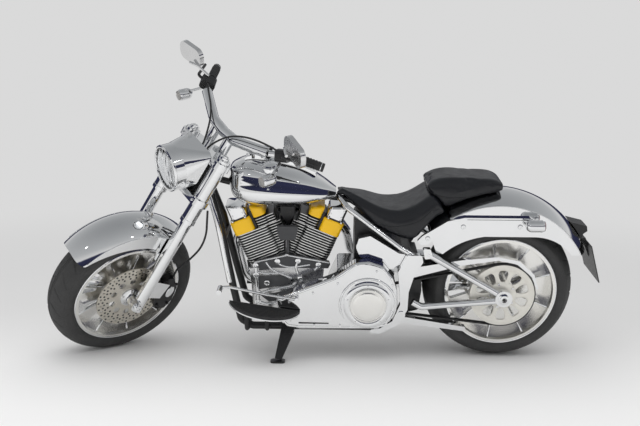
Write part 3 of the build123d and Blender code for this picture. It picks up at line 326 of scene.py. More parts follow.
class Finish(Nodes):
    """A material being made round its principled shader."""

    def __init__(self, name):
        self.material = bpy.data.materials.new(name)
        self.material.use_nodes = True
        super().__init__(self.material.node_tree)
        self.shader = self.tree.nodes["Principled BSDF"]
        FINISHES[name] = self.material

    def surface(self, **values):
        """Sockets of the principled shader, named in lower case with underscores."""
        for key, value in values.items():
            self.feed(self.shader.inputs[key.replace("_", " ").title().replace("Ior", "IOR")], value)

    def spot(self):
        """Object coordinates."""
        return self.put("TexCoord").outputs["Object"]

    def noise(self, scale, detail=3.0, rough=0.5):
        """Cloudy noise over the object, mostly between 0.3 and 0.7."""
        sockets = {"Vector": self.spot(), "Scale": scale, "Detail": detail, "Roughness": rough}
        return self.put("TexNoise", sockets).outputs[0]

    def spread(self, value, low, high, start=0.3, end=0.7):
        """Value moved in a straight line from the span start to end to the span low to high."""
        sockets = {"Value": value, "From Min": start, "From Max": end, "To Min": low, "To Max": high}
        return self.put("MapRange", sockets).outputs[0]

    def vector(self, operation, *values, output=0):
        """Result of a vector operation."""
        return self.put("VectorMath", dict(enumerate(values)), operation=operation).outputs[output]

    def maths(self, operation, *values):
        """Result of an operation on numbers."""
        return self.put("Math", dict(enumerate(values)), operation=operation).outputs[0]

    def mix(self, share, first, second):
        """Colour between two others: the first where the share is 0, the second where it is 1."""
        return self.put("Mix", {0: share, 6: first, 7: second}, data_type="RGBA").outputs[2]

    def bump(self, height, strength, distance=0.001):
        """Tilt the shader's normal by the slope of a height."""
        node = self.put("Bump", {"Height": height, "Strength": strength, "Distance": distance})
        self.feed(self.shader.inputs["Normal"], node.outputs[0])


def shade(colour, share):
    """Colour with its three parts multiplied by a share, and alpha 1."""
    return tuple(c * share for c in colour[:3]) + (1.0,)


def metal(name, colour, dark, rough, grain, wave=0.0, metallic=1.0, bump_scale=4.0):
    """Plated or polished metal: cloudy colour and gloss, with faint waves or casting grain in the surface."""
    f = Finish(name)
    cloud = f.noise(grain, 4)
    f.surface(
        base_color=f.mix(f.spread(cloud, 0, 1), shade(colour, 1), shade(colour, dark)),
        metallic=metallic,
        roughness=f.spread(f.noise(grain * 2.3, 5, 0.6), rough[0], rough[1]),
    )
    if wave:
        f.bump(f.noise(bump_scale, 3), wave, WAVE_DEPTH)


def coat(name, colour, dark, rough, grain, strength, coat_weight=0.0, cloud=9.0):
    """Paint, plastic or rubber: colour clouded with a darker share of itself, and a fine raised grain."""
    f = Finish(name)
    f.surface(
        base_color=f.mix(f.spread(f.noise(cloud, 4), 0, 1), shade(colour, 1), shade(colour, dark)),
        roughness=f.spread(f.noise(grain * 0.2, 4), rough[0], rough[1]),
        coat_weight=coat_weight,
    )
    f.bump(f.noise(grain, 4, 0.6), strength, GRAIN_DEPTH)


PEBBLE_SCALE, FOLD_SCALE = 620.0, 26.0


def leather(name, colour):
    """Leather: cells for the pebbled grain over slow folds, rougher in the creases, with painted shade darkening
    the creases.
    """
    f = Finish(name)
    sockets = {"Vector": f.spot(), "Scale": PEBBLE_SCALE}
    pebble = f.put("TexVoronoi", sockets, feature="DISTANCE_TO_EDGE").outputs["Distance"]
    fold = f.noise(FOLD_SCALE, 5, 0.6)
    f.surface(
        # painted shade: the base colour drops to 0.45 of itself at the edges of the grain cells
        base_color=f.mix(f.spread(pebble, 0, 1, 0.0, 0.25), shade(colour, 0.45), shade(colour, 1)),
        roughness=f.spread(f.maths("ADD", fold, f.maths("MULTIPLY", pebble, 0.5)), 0.44, 0.29),
    )
    height = f.maths("ADD", f.maths("MULTIPLY", pebble, 0.35), f.maths("MULTIPLY", fold, 1.6))
    f.bump(height, 0.35, 0.0012)


BARREL_SKIN = 0.0635  # metres from a bank's axis past which a fin shows its edge
EDGE_FACING = 0.45  # cosine to the bank's axis under which a face is an edge


def fin_metal(name, dark, bright):
    """Black barrel with machined fin edges: bright where a face looks out from its bank."""
    f = Finish(name)
    basis = BIKE[0]
    coords = f.put("TexCoord").outputs
    ahead = tuple(unit(basis[:, 0]))
    crank = to_row(CRANK, BIKE)[0]
    # ahead of the crankshaft lies the front bank
    along = f.vector("DOT_PRODUCT", coords["Object"], ahead, output="Value")
    front = f.maths("GREATER_THAN", along, float(crank @ unit(basis[:, 0])))
    edges = []
    for side in (1, -1):
        axis = tuple(unit(basis @ np.array((side * sin(BANK), 0.0, cos(BANK)))))
        facing = f.vector("DOT_PRODUCT", coords["Normal"], axis, output="Value")
        edge = f.maths("LESS_THAN", f.maths("ABSOLUTE", facing), EDGE_FACING)
        away = f.vector("SUBTRACT", coords["Object"], tuple(crank))
        far = f.vector("LENGTH", f.vector("CROSS_PRODUCT", away, axis), output="Value")
        edges.append(f.maths("MULTIPLY", edge, f.maths("GREATER_THAN", far, BARREL_SKIN)))
    bank = f.put("Mix", {0: front, 2: edges[1], 3: edges[0]}).outputs[0]
    worn = f.maths("MULTIPLY", bank, f.spread(f.noise(160.0, 3), 0.75, 1.0))
    f.surface(
        base_color=f.mix(worn, shade(dark, 1), shade(bright, 1)),
        metallic=worn,
        roughness=f.spread(f.noise(240.0, 4), 0.28, 0.42),
    )
    f.bump(f.noise(900.0, 3), 0.12, 0.0004)


TURNING_SCALE = 900.0


def turned_steel(name, colour, dark, place):
    """Brushed disc: roughness and colour follow the distance from the axle in fine rings."""
    f = Finish(name)
    basis, origin = place
    away = f.vector("SUBTRACT", f.spot(), tuple(origin))
    far = f.vector("LENGTH", f.vector("CROSS_PRODUCT", away, tuple(unit(basis[:, 1]))), output="Value")
    sockets = {"W": f.maths("MULTIPLY", far, TURNING_SCALE), "Scale": 1.0, "Detail": 4.0}
    rings = f.put("TexNoise", sockets, noise_dimensions="1D").outputs[0]
    f.surface(
        base_color=f.mix(f.spread(rings, 0, 1), shade(colour, dark), shade(colour, 1)),
        metallic=1.0,
        roughness=f.spread(f.noise(60.0, 4), 0.26, 0.4),
    )
    f.bump(rings, 0.15, 0.0004)


def clear_glass(name, tint, flutes):
    """Lamp glass: clear body with vertical flutes pressed in."""
    f = Finish(name)
    gloss = f.spread(f.noise(40.0), 0.0, 0.05)
    f.surface(base_color=shade(tint, 1), transmission_weight=1.0, ior=1.46, roughness=gloss)
    sockets = {"Vector": f.spot(), "Scale": flutes, "Distortion": 0.0}
    f.bump(f.put("TexWave", sockets, bands_direction="X").outputs[1], 0.35, 0.002)


def tint(name, description, default):
    """Property that holds a colour."""
    limits = {"min": 0, "max": 1, "size": 3, "subtype": "COLOR"}
    return FloatVectorProperty(name=name, description=description, default=default, **limits)


def amount(name, description, default, high, low=0.0, **kind):
    """Property that holds one number between two limits."""
    return FloatProperty(name=name, description=description, default=default, min=low, max=high, **kind)


class FinishValues(bpy.types.PropertyGroup):
    """Colours and gloss of the motorcycle's finishes."""

    chrome: tint("Chrome", "Colour of the plated bodywork", (0.86, 0.865, 0.87))
    alloy: tint("Alloy", "Colour of the polished castings", (0.82, 0.82, 0.81))
    heads: tint("Heads", "Colour of the painted cylinder heads", (1.0, 0.58, 0.0))
    leather: tint("Leather", "Colour of the seat leather", (0.006, 0.007, 0.010))
    tyre: tint("Tyre", "Colour of the tyre rubber", (0.040, 0.040, 0.040))
    black: tint("Black", "Colour of the black coated metal", (0.010, 0.010, 0.011))
    pulley: tint("Pulley", "Colour of the belt pulley", (0.80, 0.78, 0.72))
    chrome_gloss: amount("Chrome Roughness", "Highest roughness of the bodywork", 0.085, 1, subtype="FACTOR")


BRIGHT_NODES = (
    "primary_cover", "rear_frame", "swing_arm", "side_covers", "fender_struts", "triple_clamps",
    "belt_guards", "fork_legs", "handlebar",
)
# nodes whose finish isn't the one named by their slot
NODE_FINISH = {
    **dict.fromkeys(BRIGHT_NODES, "bright_plate"),
    **dict.fromkeys(("front_rim", "rear_rim"), "rim_alloy"),
    **dict.fromkeys(("number_plate", "tail_light"), "black_plastic"),
    **dict.fromkeys(("engine_case", "gearbox"), "cast_alloy"),
    "cylinders": "fin_metal",
    "rear_disc": "rear_disc_steel",
    "mirrors": "mirror_shell",
}


class MOTORCYCLE_OT_finishes(bpy.types.Operator):
    """Make every finish and give the CAD nodes theirs"""

    bl_idname = "motorcycle.finishes"
    bl_label = "Finishes"

    def execute(self, context):
        v = context.scene.motorcycle_finish
        metal("bright_plate", v.chrome, 0.965, (0.03, v.chrome_gloss), 7.0, wave=0.05)
        metal("chrome", v.chrome, 0.95, (0.04, 0.11), 16.0, wave=0.03, bump_scale=9.0)
        metal("polished_alloy", v.alloy, 0.95, (0.09, 0.17), 16.0, wave=0.03, bump_scale=30.0)
        metal("cast_alloy", (0.62, 0.62, 0.62), 0.85, (0.12, 0.24), 30.0, wave=0.08, bump_scale=120.0)
        metal("cover_plate", (0.88, 0.87, 0.84), 0.97, (0.10, 0.17), 12.0, wave=0.03, bump_scale=20.0)
        metal("rim_alloy", (0.86, 0.85, 0.82), 0.98, (0.19, 0.23), 7.0, wave=0.03)
        coat("smoke_glass", (0.30, 0.29, 0.28), 0.8, (0.05, 0.12), 160.0, 0.05, coat_weight=1.0)
        metal("pulley_finish", v.pulley, 0.93, (0.32, 0.46), 30.0, wave=0.08, metallic=0.55, bump_scale=320.0)
        metal("mirror_shell", (0.80, 0.80, 0.80), 0.94, (0.10, 0.2), 24.0, wave=0.05)
        coat("black_metal", v.black, 0.6, (0.26, 0.42), 700.0, 0.18)
        coat("yellow_metal", v.heads, 0.94, (0.34, 0.46), 500.0, 0.10, coat_weight=0.15)
        coat("dark_cover", (0.055, 0.056, 0.06), 0.8, (0.40, 0.55), 600.0, 0.2)
        coat("black_rubber", (0.020, 0.020, 0.021), 0.7, (0.50, 0.68), 900.0, 0.25)
        coat("tyre_rubber", v.tyre, 0.78, (0.58, 0.78), 750.0, 0.30, cloud=14.0)
        coat("black_plastic", (0.012, 0.012, 0.013), 0.7, (0.30, 0.45), 1100.0, 0.15)
        coat("plate_face", (0.58, 0.58, 0.57), 0.9, (0.30, 0.42), 300.0, 0.05)
        coat("dark_lamp", (0.10, 0.008, 0.006), 0.6, (0.08, 0.16), 160.0, 0.05, coat_weight=1.0)
        coat("stitching", (0.03, 0.03, 0.032), 0.6, (0.6, 0.75), 1500.0, 0.3)
        # painted shade: near-black finish for thin sheets laid where holes, sockets, grooves, edges and pipe ends
        # fall in shade
        coat("bare_socket", (0.02, 0.02, 0.02), 0.5, (0.4, 0.6), 400.0, 0.1)
        leather("seat_leather", v.leather)
        fin_metal("fin_metal", v.black, (0.78, 0.78, 0.77))
        turned_steel("disc_steel", (0.74, 0.70, 0.62), 0.75, FORK)
        turned_steel("rear_disc_steel", (0.66, 0.62, 0.56), 0.75, REAR_HUB)
        clear_glass("lamp_glass", (0.95, 0.96, 0.97), flutes=26.0)
        for node, piece in NODES.items():
            finish = FINISHES[NODE_FINISH.get(node, SLOT_OF[node])]
            if not piece.material_slots:
                piece.data.materials.append(finish)
            for holder in piece.material_slots:
                holder.material = finish
        return {"FINISHED"}


# ------------------------------------------------------------------ studio
class StageValues(bpy.types.PropertyGroup):
    """Camera, light and floor."""

    lens: amount("Lens", "Focal length for a 36 mm wide picture", 47.712, 300, 10, unit="CAMERA")
    backdrop: tint("Backdrop", "Colour behind the motorcycle", (0.70, 0.70, 0.70))
    floor: tint("Floor", "Colour of the near floor", (0.90, 0.90, 0.90))
    key_power: amount("Key Power", "Power of the overhead soft light", 42.0, 1000, unit="POWER")
    fill: amount("Fill", "Strength of the even light from all round", 0.82, 5)


CAMERA_PLACE = (-0.00997, 3.5902, 1.13341)
CAMERA_YAW, CAMERA_PITCH, CAMERA_ROLL = radians(0.423), radians(7.906), radians(0.692)
# what polished faces see: height of each stop as the sine of its elevation, then its colour
HORIZON_LOW, HORIZON_HIGH = -0.2, 1.0
HORIZON = (
    (HORIZON_LOW, (0.92, 0.92, 0.92)), (0.015, (0.90, 0.90, 0.90)), (0.03, (0.020, 0.022, 0.045)),
    (0.24, (0.030, 0.033, 0.075)), (0.29, (0.66, 0.66, 0.66)), (0.48, (0.46, 0.47, 0.48)),
    (HORIZON_HIGH, (0.30, 0.31, 0.32)),
)
FLOOR_RINGS, FLOOR_SPOKES = 17, 72
FLOOR_FIRST, FLOOR_GROWTH = 0.4, 1.32  # radius of the first ring, and of each ring over the one before
FADE_START, FADE_END = 1.9, 5.5  # metres from the middle between which the floor turns into the backdrop
# name, place, target, size and power of the lamps that polished faces show
GLINTS = (
    ("glint_front", (2.6, 3.0, 3.4), (0.5, 0, 0.8), 0.14, 0.8),
    ("glint_rear", (-2.4, 2.6, 3.2), (-0.5, 0, 0.8), 0.14, 0.8),
)


class MOTORCYCLE_OT_stage(bpy.types.Operator):
    """Camera, pale floor, even surround and soft lamps"""

    bl_idname = "motorcycle.stage"
    bl_label = "Stage"

    def execute(self, context):
        v = context.scene.motorcycle_stage
        self.camera(context.scene, v)
        self.surround(context.scene, v)
        self.floor(v)
        self.lamp("key_light", (0.6, 1.8, 3.6), (0, 0, 0.5), 3.2, v.key_power, False)
        for glint in GLINTS:
            self.lamp(*glint, True)
        context.scene.view_settings.view_transform = "Standard"
        return {"FINISHED"}

    def lamp(self, name, place, target, size, power, glossy):
        """Square lamp aimed at a target, which polished faces show only where glossy says so."""
        light = bpy.data.lights.new(name, "AREA")
        light.energy, light.size = power, size
        piece = bpy.data.objects.new(name, light)
        bpy.context.scene.collection.objects.link(piece)
        aim = unit(np.array(target) - np.array(place))
        side, lift = axes_round(aim)
        piece.matrix_world = matrix_of(side, -lift, -aim, place)
        piece.visible_glossy = glossy

    def camera(self, scene, v):
        """View direction from yaw and pitch, then the picture turned by the roll about it."""
        yaw, pitch, roll = CAMERA_YAW, CAMERA_PITCH, CAMERA_ROLL
        d = np.array((sin(yaw) * cos(pitch), -cos(yaw) * cos(pitch), -sin(pitch)))
        r = unit(np.cross(d, (0, 0, 1)))
        u = np.cross(r, d)
        side, lift = cos(roll) * r + sin(roll) * u, -sin(roll) * r + cos(roll) * u
        lens = bpy.data.cameras.new("camera")
        lens.lens, lens.sensor_width, lens.sensor_fit = v.lens, 36.0, "HORIZONTAL"
        camera = bpy.data.objects.new("camera", lens)
        scene.collection.objects.link(camera)
        camera.matrix_world = matrix_of(side, lift, -d, CAMERA_PLACE)
        scene.camera = camera

    def surround(self, scene, v):
        """World: a backdrop for the camera, even light for matt faces and the horizon for gloss."""
        world = bpy.data.worlds.new("studio")
        world.use_nodes = True
        scene.world = world
        world.node_tree.nodes.clear()
        w = Nodes(world.node_tree)
        level = w.put("SeparateXYZ", {0: w.put("TexCoord").outputs["Generated"]}).outputs["Z"]
        ramp = w.put("ValToRGB", {0: w.put("MapRange", {"Value": level, "From Min": HORIZON_LOW}).outputs[0]})
        stops = ramp.color_ramp.elements
        while len(stops) < len(HORIZON):
            stops.new(0.5)
        for stop, (z, colour) in zip(stops, HORIZON):
            stop.position = (z - HORIZON_LOW) / (HORIZON_HIGH - HORIZON_LOW)
            stop.color = (*colour, 1)
        ray = w.put("LightPath").outputs
        even = w.put("Background", {"Color": (1, 1, 1, 1), "Strength": v.fill}).outputs[0]
        gloss = w.put("Background", {"Color": ramp.outputs[0]}).outputs[0]
        seen = w.put("Background", {"Color": (*v.backdrop, 1)}).outputs[0]
        mirror = w.put("MixShader", {0: ray["Is Glossy Ray"], 1: even, 2: gloss}).outputs[0]
        direct = {0: ray["Is Camera Ray"], 1: ray["Is Transmission Ray"]}
        either = w.put("Math", direct, operation="MAXIMUM").outputs[0]
        w.put("OutputWorld", {0: w.put("MixShader", {0: either, 1: mirror, 2: seen}).outputs[0]})

    def floor(self, v):
        """Round floor of widening rings, which keeps shadows near the wheels, carries a painted pool of light
        brighter towards +Y, and fades to the backdrop.
        """
        reach = FLOOR_FIRST * FLOOR_GROWTH ** np.arange(FLOOR_RINGS)[:, None]
        t = np.arange(FLOOR_SPOKES) * tau / FLOOR_SPOKES
        level = np.zeros((FLOOR_RINGS, FLOOR_SPOKES))
        points = np.stack((reach * np.cos(t), reach * np.sin(t), level), -1).reshape(-1, 3)
        faces = quads(FLOOR_RINGS, FLOOR_SPOKES, False, True).tolist() + [list(range(FLOOR_SPOKES))]
        mesh = bpy.data.meshes.new("floor")
        mesh.from_pydata(points.tolist(), [], faces)
        piece = bpy.data.objects.new("floor", mesh)
        bpy.context.scene.collection.objects.link(piece)
        f = Finish("floor_paper")
        across = f.put("SeparateXYZ", {0: f.spot()}).outputs["Y"]
        sockets = {"Value": across, "From Min": -0.9, "From Max": 0.75}
        near = f.put("MapRange", sockets, interpolation_type="SMOOTHSTEP").outputs[0]
        far_off = f.vector("LENGTH", f.spot(), output="Value")
        sockets = {"Value": far_off, "From Min": FADE_START, "From Max": FADE_END}
        fade = f.put("MapRange", sockets, interpolation_type="SMOOTHSTEP").outputs[0]
        # painted pool of light: the floor colour is painted at 0.8 behind the motorcycle, rising to full towards
        # +Y
        tone = f.mix(near, shade(v.floor, 0.80), shade(v.floor, 1.0))
        tone = f.mix(f.spread(f.noise(1.5, 2), 0.0, 0.03), tone, shade(v.floor, 0.9))
        matt = f.put("BsdfDiffuse", {"Color": tone})
        far = f.put("Emission", {"Color": (*v.backdrop, 1), "Strength": 1.0})
        blend = f.put("MixShader", {0: fade, 1: matt.outputs[0], 2: far.outputs[0]})
        f.feed(f.tree.nodes["Material Output"].inputs[0], blend.outputs[0])
        mesh.materials.append(f.material)


def matrix_of(x, y, z, origin):
    """Object matrix with these axes and this origin."""
    rows = np.column_stack((x, y, z, origin))
    return Matrix([*rows.tolist(), [0, 0, 0, 1]])


# ------------------------------------------------------------------ tyres
class TyreValues(bpy.types.PropertyGroup):
    """Tread and sidewall."""

    groove_depth: amount("Groove Depth", "Depth of the tread grooves", 0.0042, 0.01, unit="LENGTH")
    grooves: IntProperty(
        name="Grooves", description="Slanted grooves on each side", default=26, min=6, max=60,
    )
    columns: IntProperty(
        name="Columns", description="Grid steps round the tyre", default=624, min=96, max=960,
    )


TREAD_STEPS, WALL_STEPS = 57, 26
BEAD_LIP, BEAD_SEAT = 241.3, 229.3
# rings pressed into the wall: place and width as shares of the wall, then depth
WALL_RINGS = ((0.10, 0.035, 1.36), (0.30, 0.02, 0.765), (0.70, 0.02, 0.765), (0.86, 0.03, 1.19))
# name, node, place, body, then half width, half tread, crown radius and half width at the bead
TYRES = (
    ("front_tyre_tread", "front_tyre", FORK, "front_wheel", (80.0, 70.0, 95.0, 60.0)),
    ("rear_tyre_tread", "rear_tyre", REAR_HUB, "rear_wheel", (118.0, 105.0, 165.0, 101.0)),
)


def arc(first, middle, last, count):
    """Points on the circle through three points, from the first to the last by even turns."""
    (x1, y1), (x2, y2), (x3, y3) = first, middle, last
    d = 2 * (x1 * (y2 - y3) + x2 * (y3 - y1) + x3 * (y1 - y2))
    s1, s2, s3 = x1**2 + y1**2, x2**2 + y2**2, x3**2 + y3**2
    centre_x = (s1 * (y2 - y3) + s2 * (y3 - y1) + s3 * (y1 - y2)) / d
    centre_y = (s1 * (x3 - x2) + s2 * (x1 - x3) + s3 * (x2 - x1)) / d
    centre = np.array((centre_x, centre_y))
    turns = [np.arctan2(p[1] - centre_y, p[0] - centre_x) for p in (first, middle, last)]
    swing = (turns[2] - turns[0] + pi) % tau - pi
    t = turns[0] + swing * np.linspace(0, 1, count)
    return centre + np.hypot(*(np.array(first) - centre)) * np.column_stack((np.cos(t), np.sin(t)))


class MOTORCYCLE_OT_tyres(bpy.types.Operator):
    """Tyres with cut tread and ringed sidewalls"""

    bl_idname = "motorcycle.tyres"
    bl_label = "Tyres"

    def execute(self, context):
        v = context.scene.motorcycle_tyres
        for name, node, place, body, size in TYRES:
            part = self.tyre(v, *size)
            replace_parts(make(name, part, place, body, "tyre_rubber", crease=50), node)
        return {"FINISHED"}

    def tyre(self, v, half, shoulder, crown, bead):
        """Section revolved: tread arc, ringed walls, bead and lining, and grooves that lower its radius."""
        edge = TYRE_RADIUS - crown + (crown**2 - shoulder**2) ** 0.5
        bulge = (BEAD_LIP + edge) / 2
        tread = arc((-shoulder, edge), (0, TYRE_RADIUS), (shoulder, edge), TREAD_STEPS)
        wall = arc((shoulder, edge), (half, bulge), (bead + 4, BEAD_LIP), WALL_STEPS)[1:]
        share = np.linspace(0, 1, len(wall))
        pressed = sum(deep * np.exp(-(((share - middle) / wide) ** 2)) for middle, wide, deep in WALL_RINGS)
        wall = wall - np.column_stack((pressed, 0 * pressed))
        other = mirrored(wall)
        inner = bead - 0.3
        lining = ((inner, BEAD_LIP), (inner, BEAD_SEAT), (bead - 12, BEAD_SEAT), (shoulder - 6, edge - 12))
        section = np.vstack((other, tread, wall, lining, mirrored(np.array(lining))))
        turns = np.arange(v.columns) * tau / v.columns
        across, on_tread = np.zeros((2, len(section), 1))
        start, stop = len(other), len(other) + len(tread)
        across[start:stop, 0] = tread[:, 0] / shoulder
        on_tread[start + 1 : stop - 1] = 1
        depth = self.grooves(turns[None, :], across, v.grooves) * on_tread
        radius = section[:, 1, None] - depth * v.groove_depth / MM
        level = np.broadcast_to(section[:, 0, None], radius.shape)
        points = np.stack((radius * np.cos(turns), level, radius * np.sin(turns)), -1)
        return points.reshape(-1, 3), quads(len(section), v.columns, True, True)

    def grooves(self, turn, across, count):
        """Slanted grooves: a pulse of the turn plus a curve of the place across, and a ring by the middle."""
        reach = np.abs(across)
        phase = turn * count / tau + 0.75 * reach**1.5 + np.where(across > 0, 0.5, 0.0)
        slot = np.clip(1.6 - np.abs((phase + 0.5) % 1 - 0.5) / 0.045, 0, 1)
        window = np.clip((reach - 0.16) / 0.05, 0, 1) * np.clip((0.93 - reach) / 0.05, 0, 1)
        every_other = np.where(np.floor(phase) % 2 == 0, 1.0, np.clip((0.62 - reach) / 0.05, 0, 1))
        middle_ring = np.clip(1.5 - np.abs(reach - 0.07) / 0.03, 0, 1) * 0.8
        return np.maximum(slot * window * every_other, middle_ring)


def mirrored(profile):
    """Profile on the other side of the middle, in reverse order."""
    return (profile * (-1, 1))[::-1]


# ------------------------------------------------------------------ seats
class SeatValues(bpy.types.PropertyGroup):
    """Padding of the two seats."""

    voxel: amount(
        "Voxel", "Size of the even mesh that the padding swells from", 0.006, 0.02, 0.003, unit="LENGTH",
    )
    pressure: amount("Pressure", "Pressure that fills the cover", 4.0, 20)
    swell: amount("Swell", "Furthest that a point of the cover may move", 0.006, 0.03, unit="LENGTH")


WELD = 1e-5  # metres within which a pad's corners are one
RELAX_STEPS, CLOTH_FRAMES = 14, 20
# seam lines seen from the side, as places along and up
SEAT_SEAMS = {
    "rider_seat": [(690, 730), (640, 694), (560, 640), (470, 634), (380, 656), (330, 694), (300, 722)],
    "pillion_seat": [(330, 776), (300, 762), (250, 752), (170, 752), (90, 764), (30, 776)],
}
CAST_FROM = 400.0  # distance to the side from which a seam is cast
SEAM_UP = (0, 1, 0.2)
THREAD = [(0, -2.4), (0.7, -1.8), (0.7, 1.8), (0, 2.4)]


def baked(piece):
    """Replace a piece's mesh by its evaluated one and clear its modifiers."""
    graph = bpy.context.evaluated_depsgraph_get()
    mesh = bpy.data.meshes.new_from_object(piece.evaluated_get(graph))
    piece.modifiers.clear()
    piece.data = mesh


def corners_of(mesh):
    """Vertex places as an array."""
    points = np.empty(len(mesh.vertices) * 3)
    mesh.vertices.foreach_get("co", points)
    return points.reshape(-1, 3)


def swollen(piece, v):
    """Run the cover as cloth under pressure and keep each point within the cap of where it began."""
    rest = corners_of(piece.data)
    cloth = piece.modifiers.new("swell", "CLOTH")
    cloth.settings.use_pressure = True
    cloth.settings.uniform_pressure_force = v.pressure
    cloth.settings.effector_weights.gravity = 0.0
    cloth.settings.quality = 4
    cloth.point_cache.frame_start, cloth.point_cache.frame_end = 1, CLOTH_FRAMES
    for step in range(1, CLOTH_FRAMES + 1):
        bpy.context.scene.frame_set(step)
    baked(piece)
    bpy.context.scene.frame_set(1)
    move = corners_of(piece.data) - rest
    far = np.linalg.norm(move, axis=1)[:, None]
    rest = rest + move * np.minimum(1, v.swell / np.maximum(far, 1e-9))
    piece.data.vertices.foreach_set("co", rest.ravel())


def padded_cover(name, node, v):
    """Welded copy of a pad's solid, remeshed evenly, relaxed and swollen, then made finer."""
    mesh = NODES[node].data.copy()
    shape = bmesh.new()
    shape.from_mesh(mesh)
    bmesh.ops.remove_doubles(shape, verts=shape.verts, dist=WELD)
    shape.to_mesh(mesh)
    shape.free()
    piece = bpy.data.objects.new(name, mesh)
    bpy.context.scene.collection.objects.link(piece)
    even = piece.modifiers.new("even", "REMESH")
    even.mode, even.voxel_size = "VOXEL", v.voxel
    relax = piece.modifiers.new("relax", "SMOOTH")
    relax.factor, relax.iterations = 0.5, RELAX_STEPS
    baked(piece)
    swollen(piece, v)
    finer = piece.modifiers.new("finer", "SUBSURF")
    finer.levels = finer.render_levels = 1
    baked(piece)
    piece.data.shade_smooth()
    piece.data.materials.clear()
    piece.data.materials.append(FINISHES["seat_leather"])
    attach(piece, BODY_OF[node])
    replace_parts(piece, node)
    return piece


def on_side(tree, line, side, lift=0.0):
    """Points of a side-view line cast sideways onto a cover, moved out by a little."""
    basis, origin = BIKE
    found = []
    for x, z in line:
        start = to_row((x, side * CAST_FROM, z), BIKE)[0]
        hit = tree.ray_cast(start.tolist(), (-side * unit(basis[:, 1])).tolist())[0]
        if hit is not None:
            found.append(np.linalg.inv(basis) @ (np.array(hit) - origin) + (0, side * lift, 0))
    return np.array(found)


class MOTORCYCLE_OT_seats(bpy.types.Operator):
    """Padded rider and pillion seats with seams and stitches"""

    bl_idname = "motorcycle.seats"
    bl_label = "Seats"

    def execute(self, context):
        v = context.scene.motorcycle_seats
        covers = {node: padded_cover(node + "_cover", node, v) for node in SEAT_SEAMS}
        seams, threads = [], []
        for node, line in SEAT_SEAMS.items():
            mesh = covers[node].data
            faces = [tuple(face.vertices) for face in mesh.polygons]
            tree = BVHTree.FromPolygons([tuple(p) for p in corners_of(mesh)], faces)
            path = flow(line, 70)
            for side in (1, -1):
                seam = on_side(tree, path, side, 0.2)
                seams.append(rod(flow(seam[::2], 120), 1.5, 8, SEAM_UP))
                dots = flow(seam + (0, 0, -5.0), 150)[3:-3:3]
                stitch = revolve(THREAD, 6, axis=(1, 0, 0))
                threads.append(stamp(stitch, on_side(tree, dots[:, (0, 2)], side, 0.1)))
        on_frame("seat_seams", seams, "seat_leather")
        on_frame("seat_stitches", threads, "stitching", "seat_leather")
        return {"FINISHED"}


# ------------------------------------------------------------------ cables and hose
HOSE_ROUTE = [
    (-50, 172, 530), (-78, 174, 480), (-118, 168, 420), (-142, 160, 345), (-128, 150, 270), (-110, 134, 205),
    (-160, 84, 172), (-160, 84, 134.6),
]
CABLE_ROUTE = [(-97, 279, 914), (-60, 222, 910), (-38, 110, 866), (-18, 42, 800), (-12, 18, 740.6)]
HOSE_RADIUS, CABLE_RADIUS = 4.5, 4.0


class MOTORCYCLE_OT_cords(bpy.types.Operator):
    """Brake hose and handlebar cables as smooth lines through the CAD routes"""

    bl_idname = "motorcycle.cords"
    bl_label = "Hose and Cables"

    def execute(self, context):
        other = [(u, -y, s) for u, y, s in CABLE_ROUTE]
        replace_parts(self.cord("brake_hose_line", HOSE_ROUTE, HOSE_RADIUS), "brake_hose")
        for name, route in (("cable_left", CABLE_ROUTE), ("cable_right", other)):
            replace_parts(self.cord(name, route, CABLE_RADIUS), "control_cables")
        return {"FINISHED"}

    def cord(self, name, route, radius):
        """NURBS line of order 3 on the route's points, with a round section."""
        points = to_row(route, FORK)
        data = bpy.data.curves.new(name, "CURVE")
        data.dimensions = "3D"
        spline = data.splines.new("NURBS")
        spline.points.add(len(points) - 1)
        spline.points.foreach_set("co", np.column_stack((points, np.ones(len(points)))).ravel())
        spline.order_u = 3
        spline.use_endpoint_u = True
        spline.resolution_u = 10
        data.bevel_depth = radius * MM
        data.bevel_resolution = 4
        data.use_fill_caps = True
        piece = bpy.data.objects.new(name, data)
        bpy.context.scene.collection.objects.link(piece)
        data.materials.append(FINISHES["black_rubber"])
        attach(piece, "fork")
        return piece


# ------------------------------------------------------------------ wheels
RIB_COUNT = 9
RIB_REACH = (60, 226)  # from the hub to the rim
FRONT_DISC_FACE, REAR_DISC_FACE = 82.3, 126.3
DISC_BOLTS = (37, 5)  # radius of their circle, and how many
DRILLINGS = ((117, 0.0), (124, 0.13), (142, 0.13), (103, 0.05))  # radius and first angle of each row
HOLES_IN_A_ROW = 24
PULLEY_SPOKES = 10
PULLEY_MIDDLE = 140.9
PULLEY_RING = [
    (113, 137), (113, 144.6), (118, 146), (132, 147.2), (138, 146), (138, 121.4), (127, 121.4), (126, 137),
]
PULLEY_HUB = [
    (13, 121.4), (46, 121.4), (47, 136), (61, 138), (61, 144), (52, 146.5), (44, 147.2), (13, 147.2),
]
RIM_LIP = [(236, -3), (241, -3), (243, 0), (240, 2.5), (236, 1.5)]
REAR_CAP = [(0, 190), (13, 190), (24, 188.3), (24, 192), (19, 194), (19, 198), (11, 200), (9, 196), (0, 196)]
# dark sheet of painted shade at the floor of each rear axle cap's socket: radius and place along
REAR_SOCKET = [(0, 196.1), (8.5, 196.1), (8.5, 196.9), (0, 196.9)]
FRONT_CAP = [(0, 160), (16, 160), (17, 166), (14, 170), (7, 170.5), (6, 168), (0, 168)]


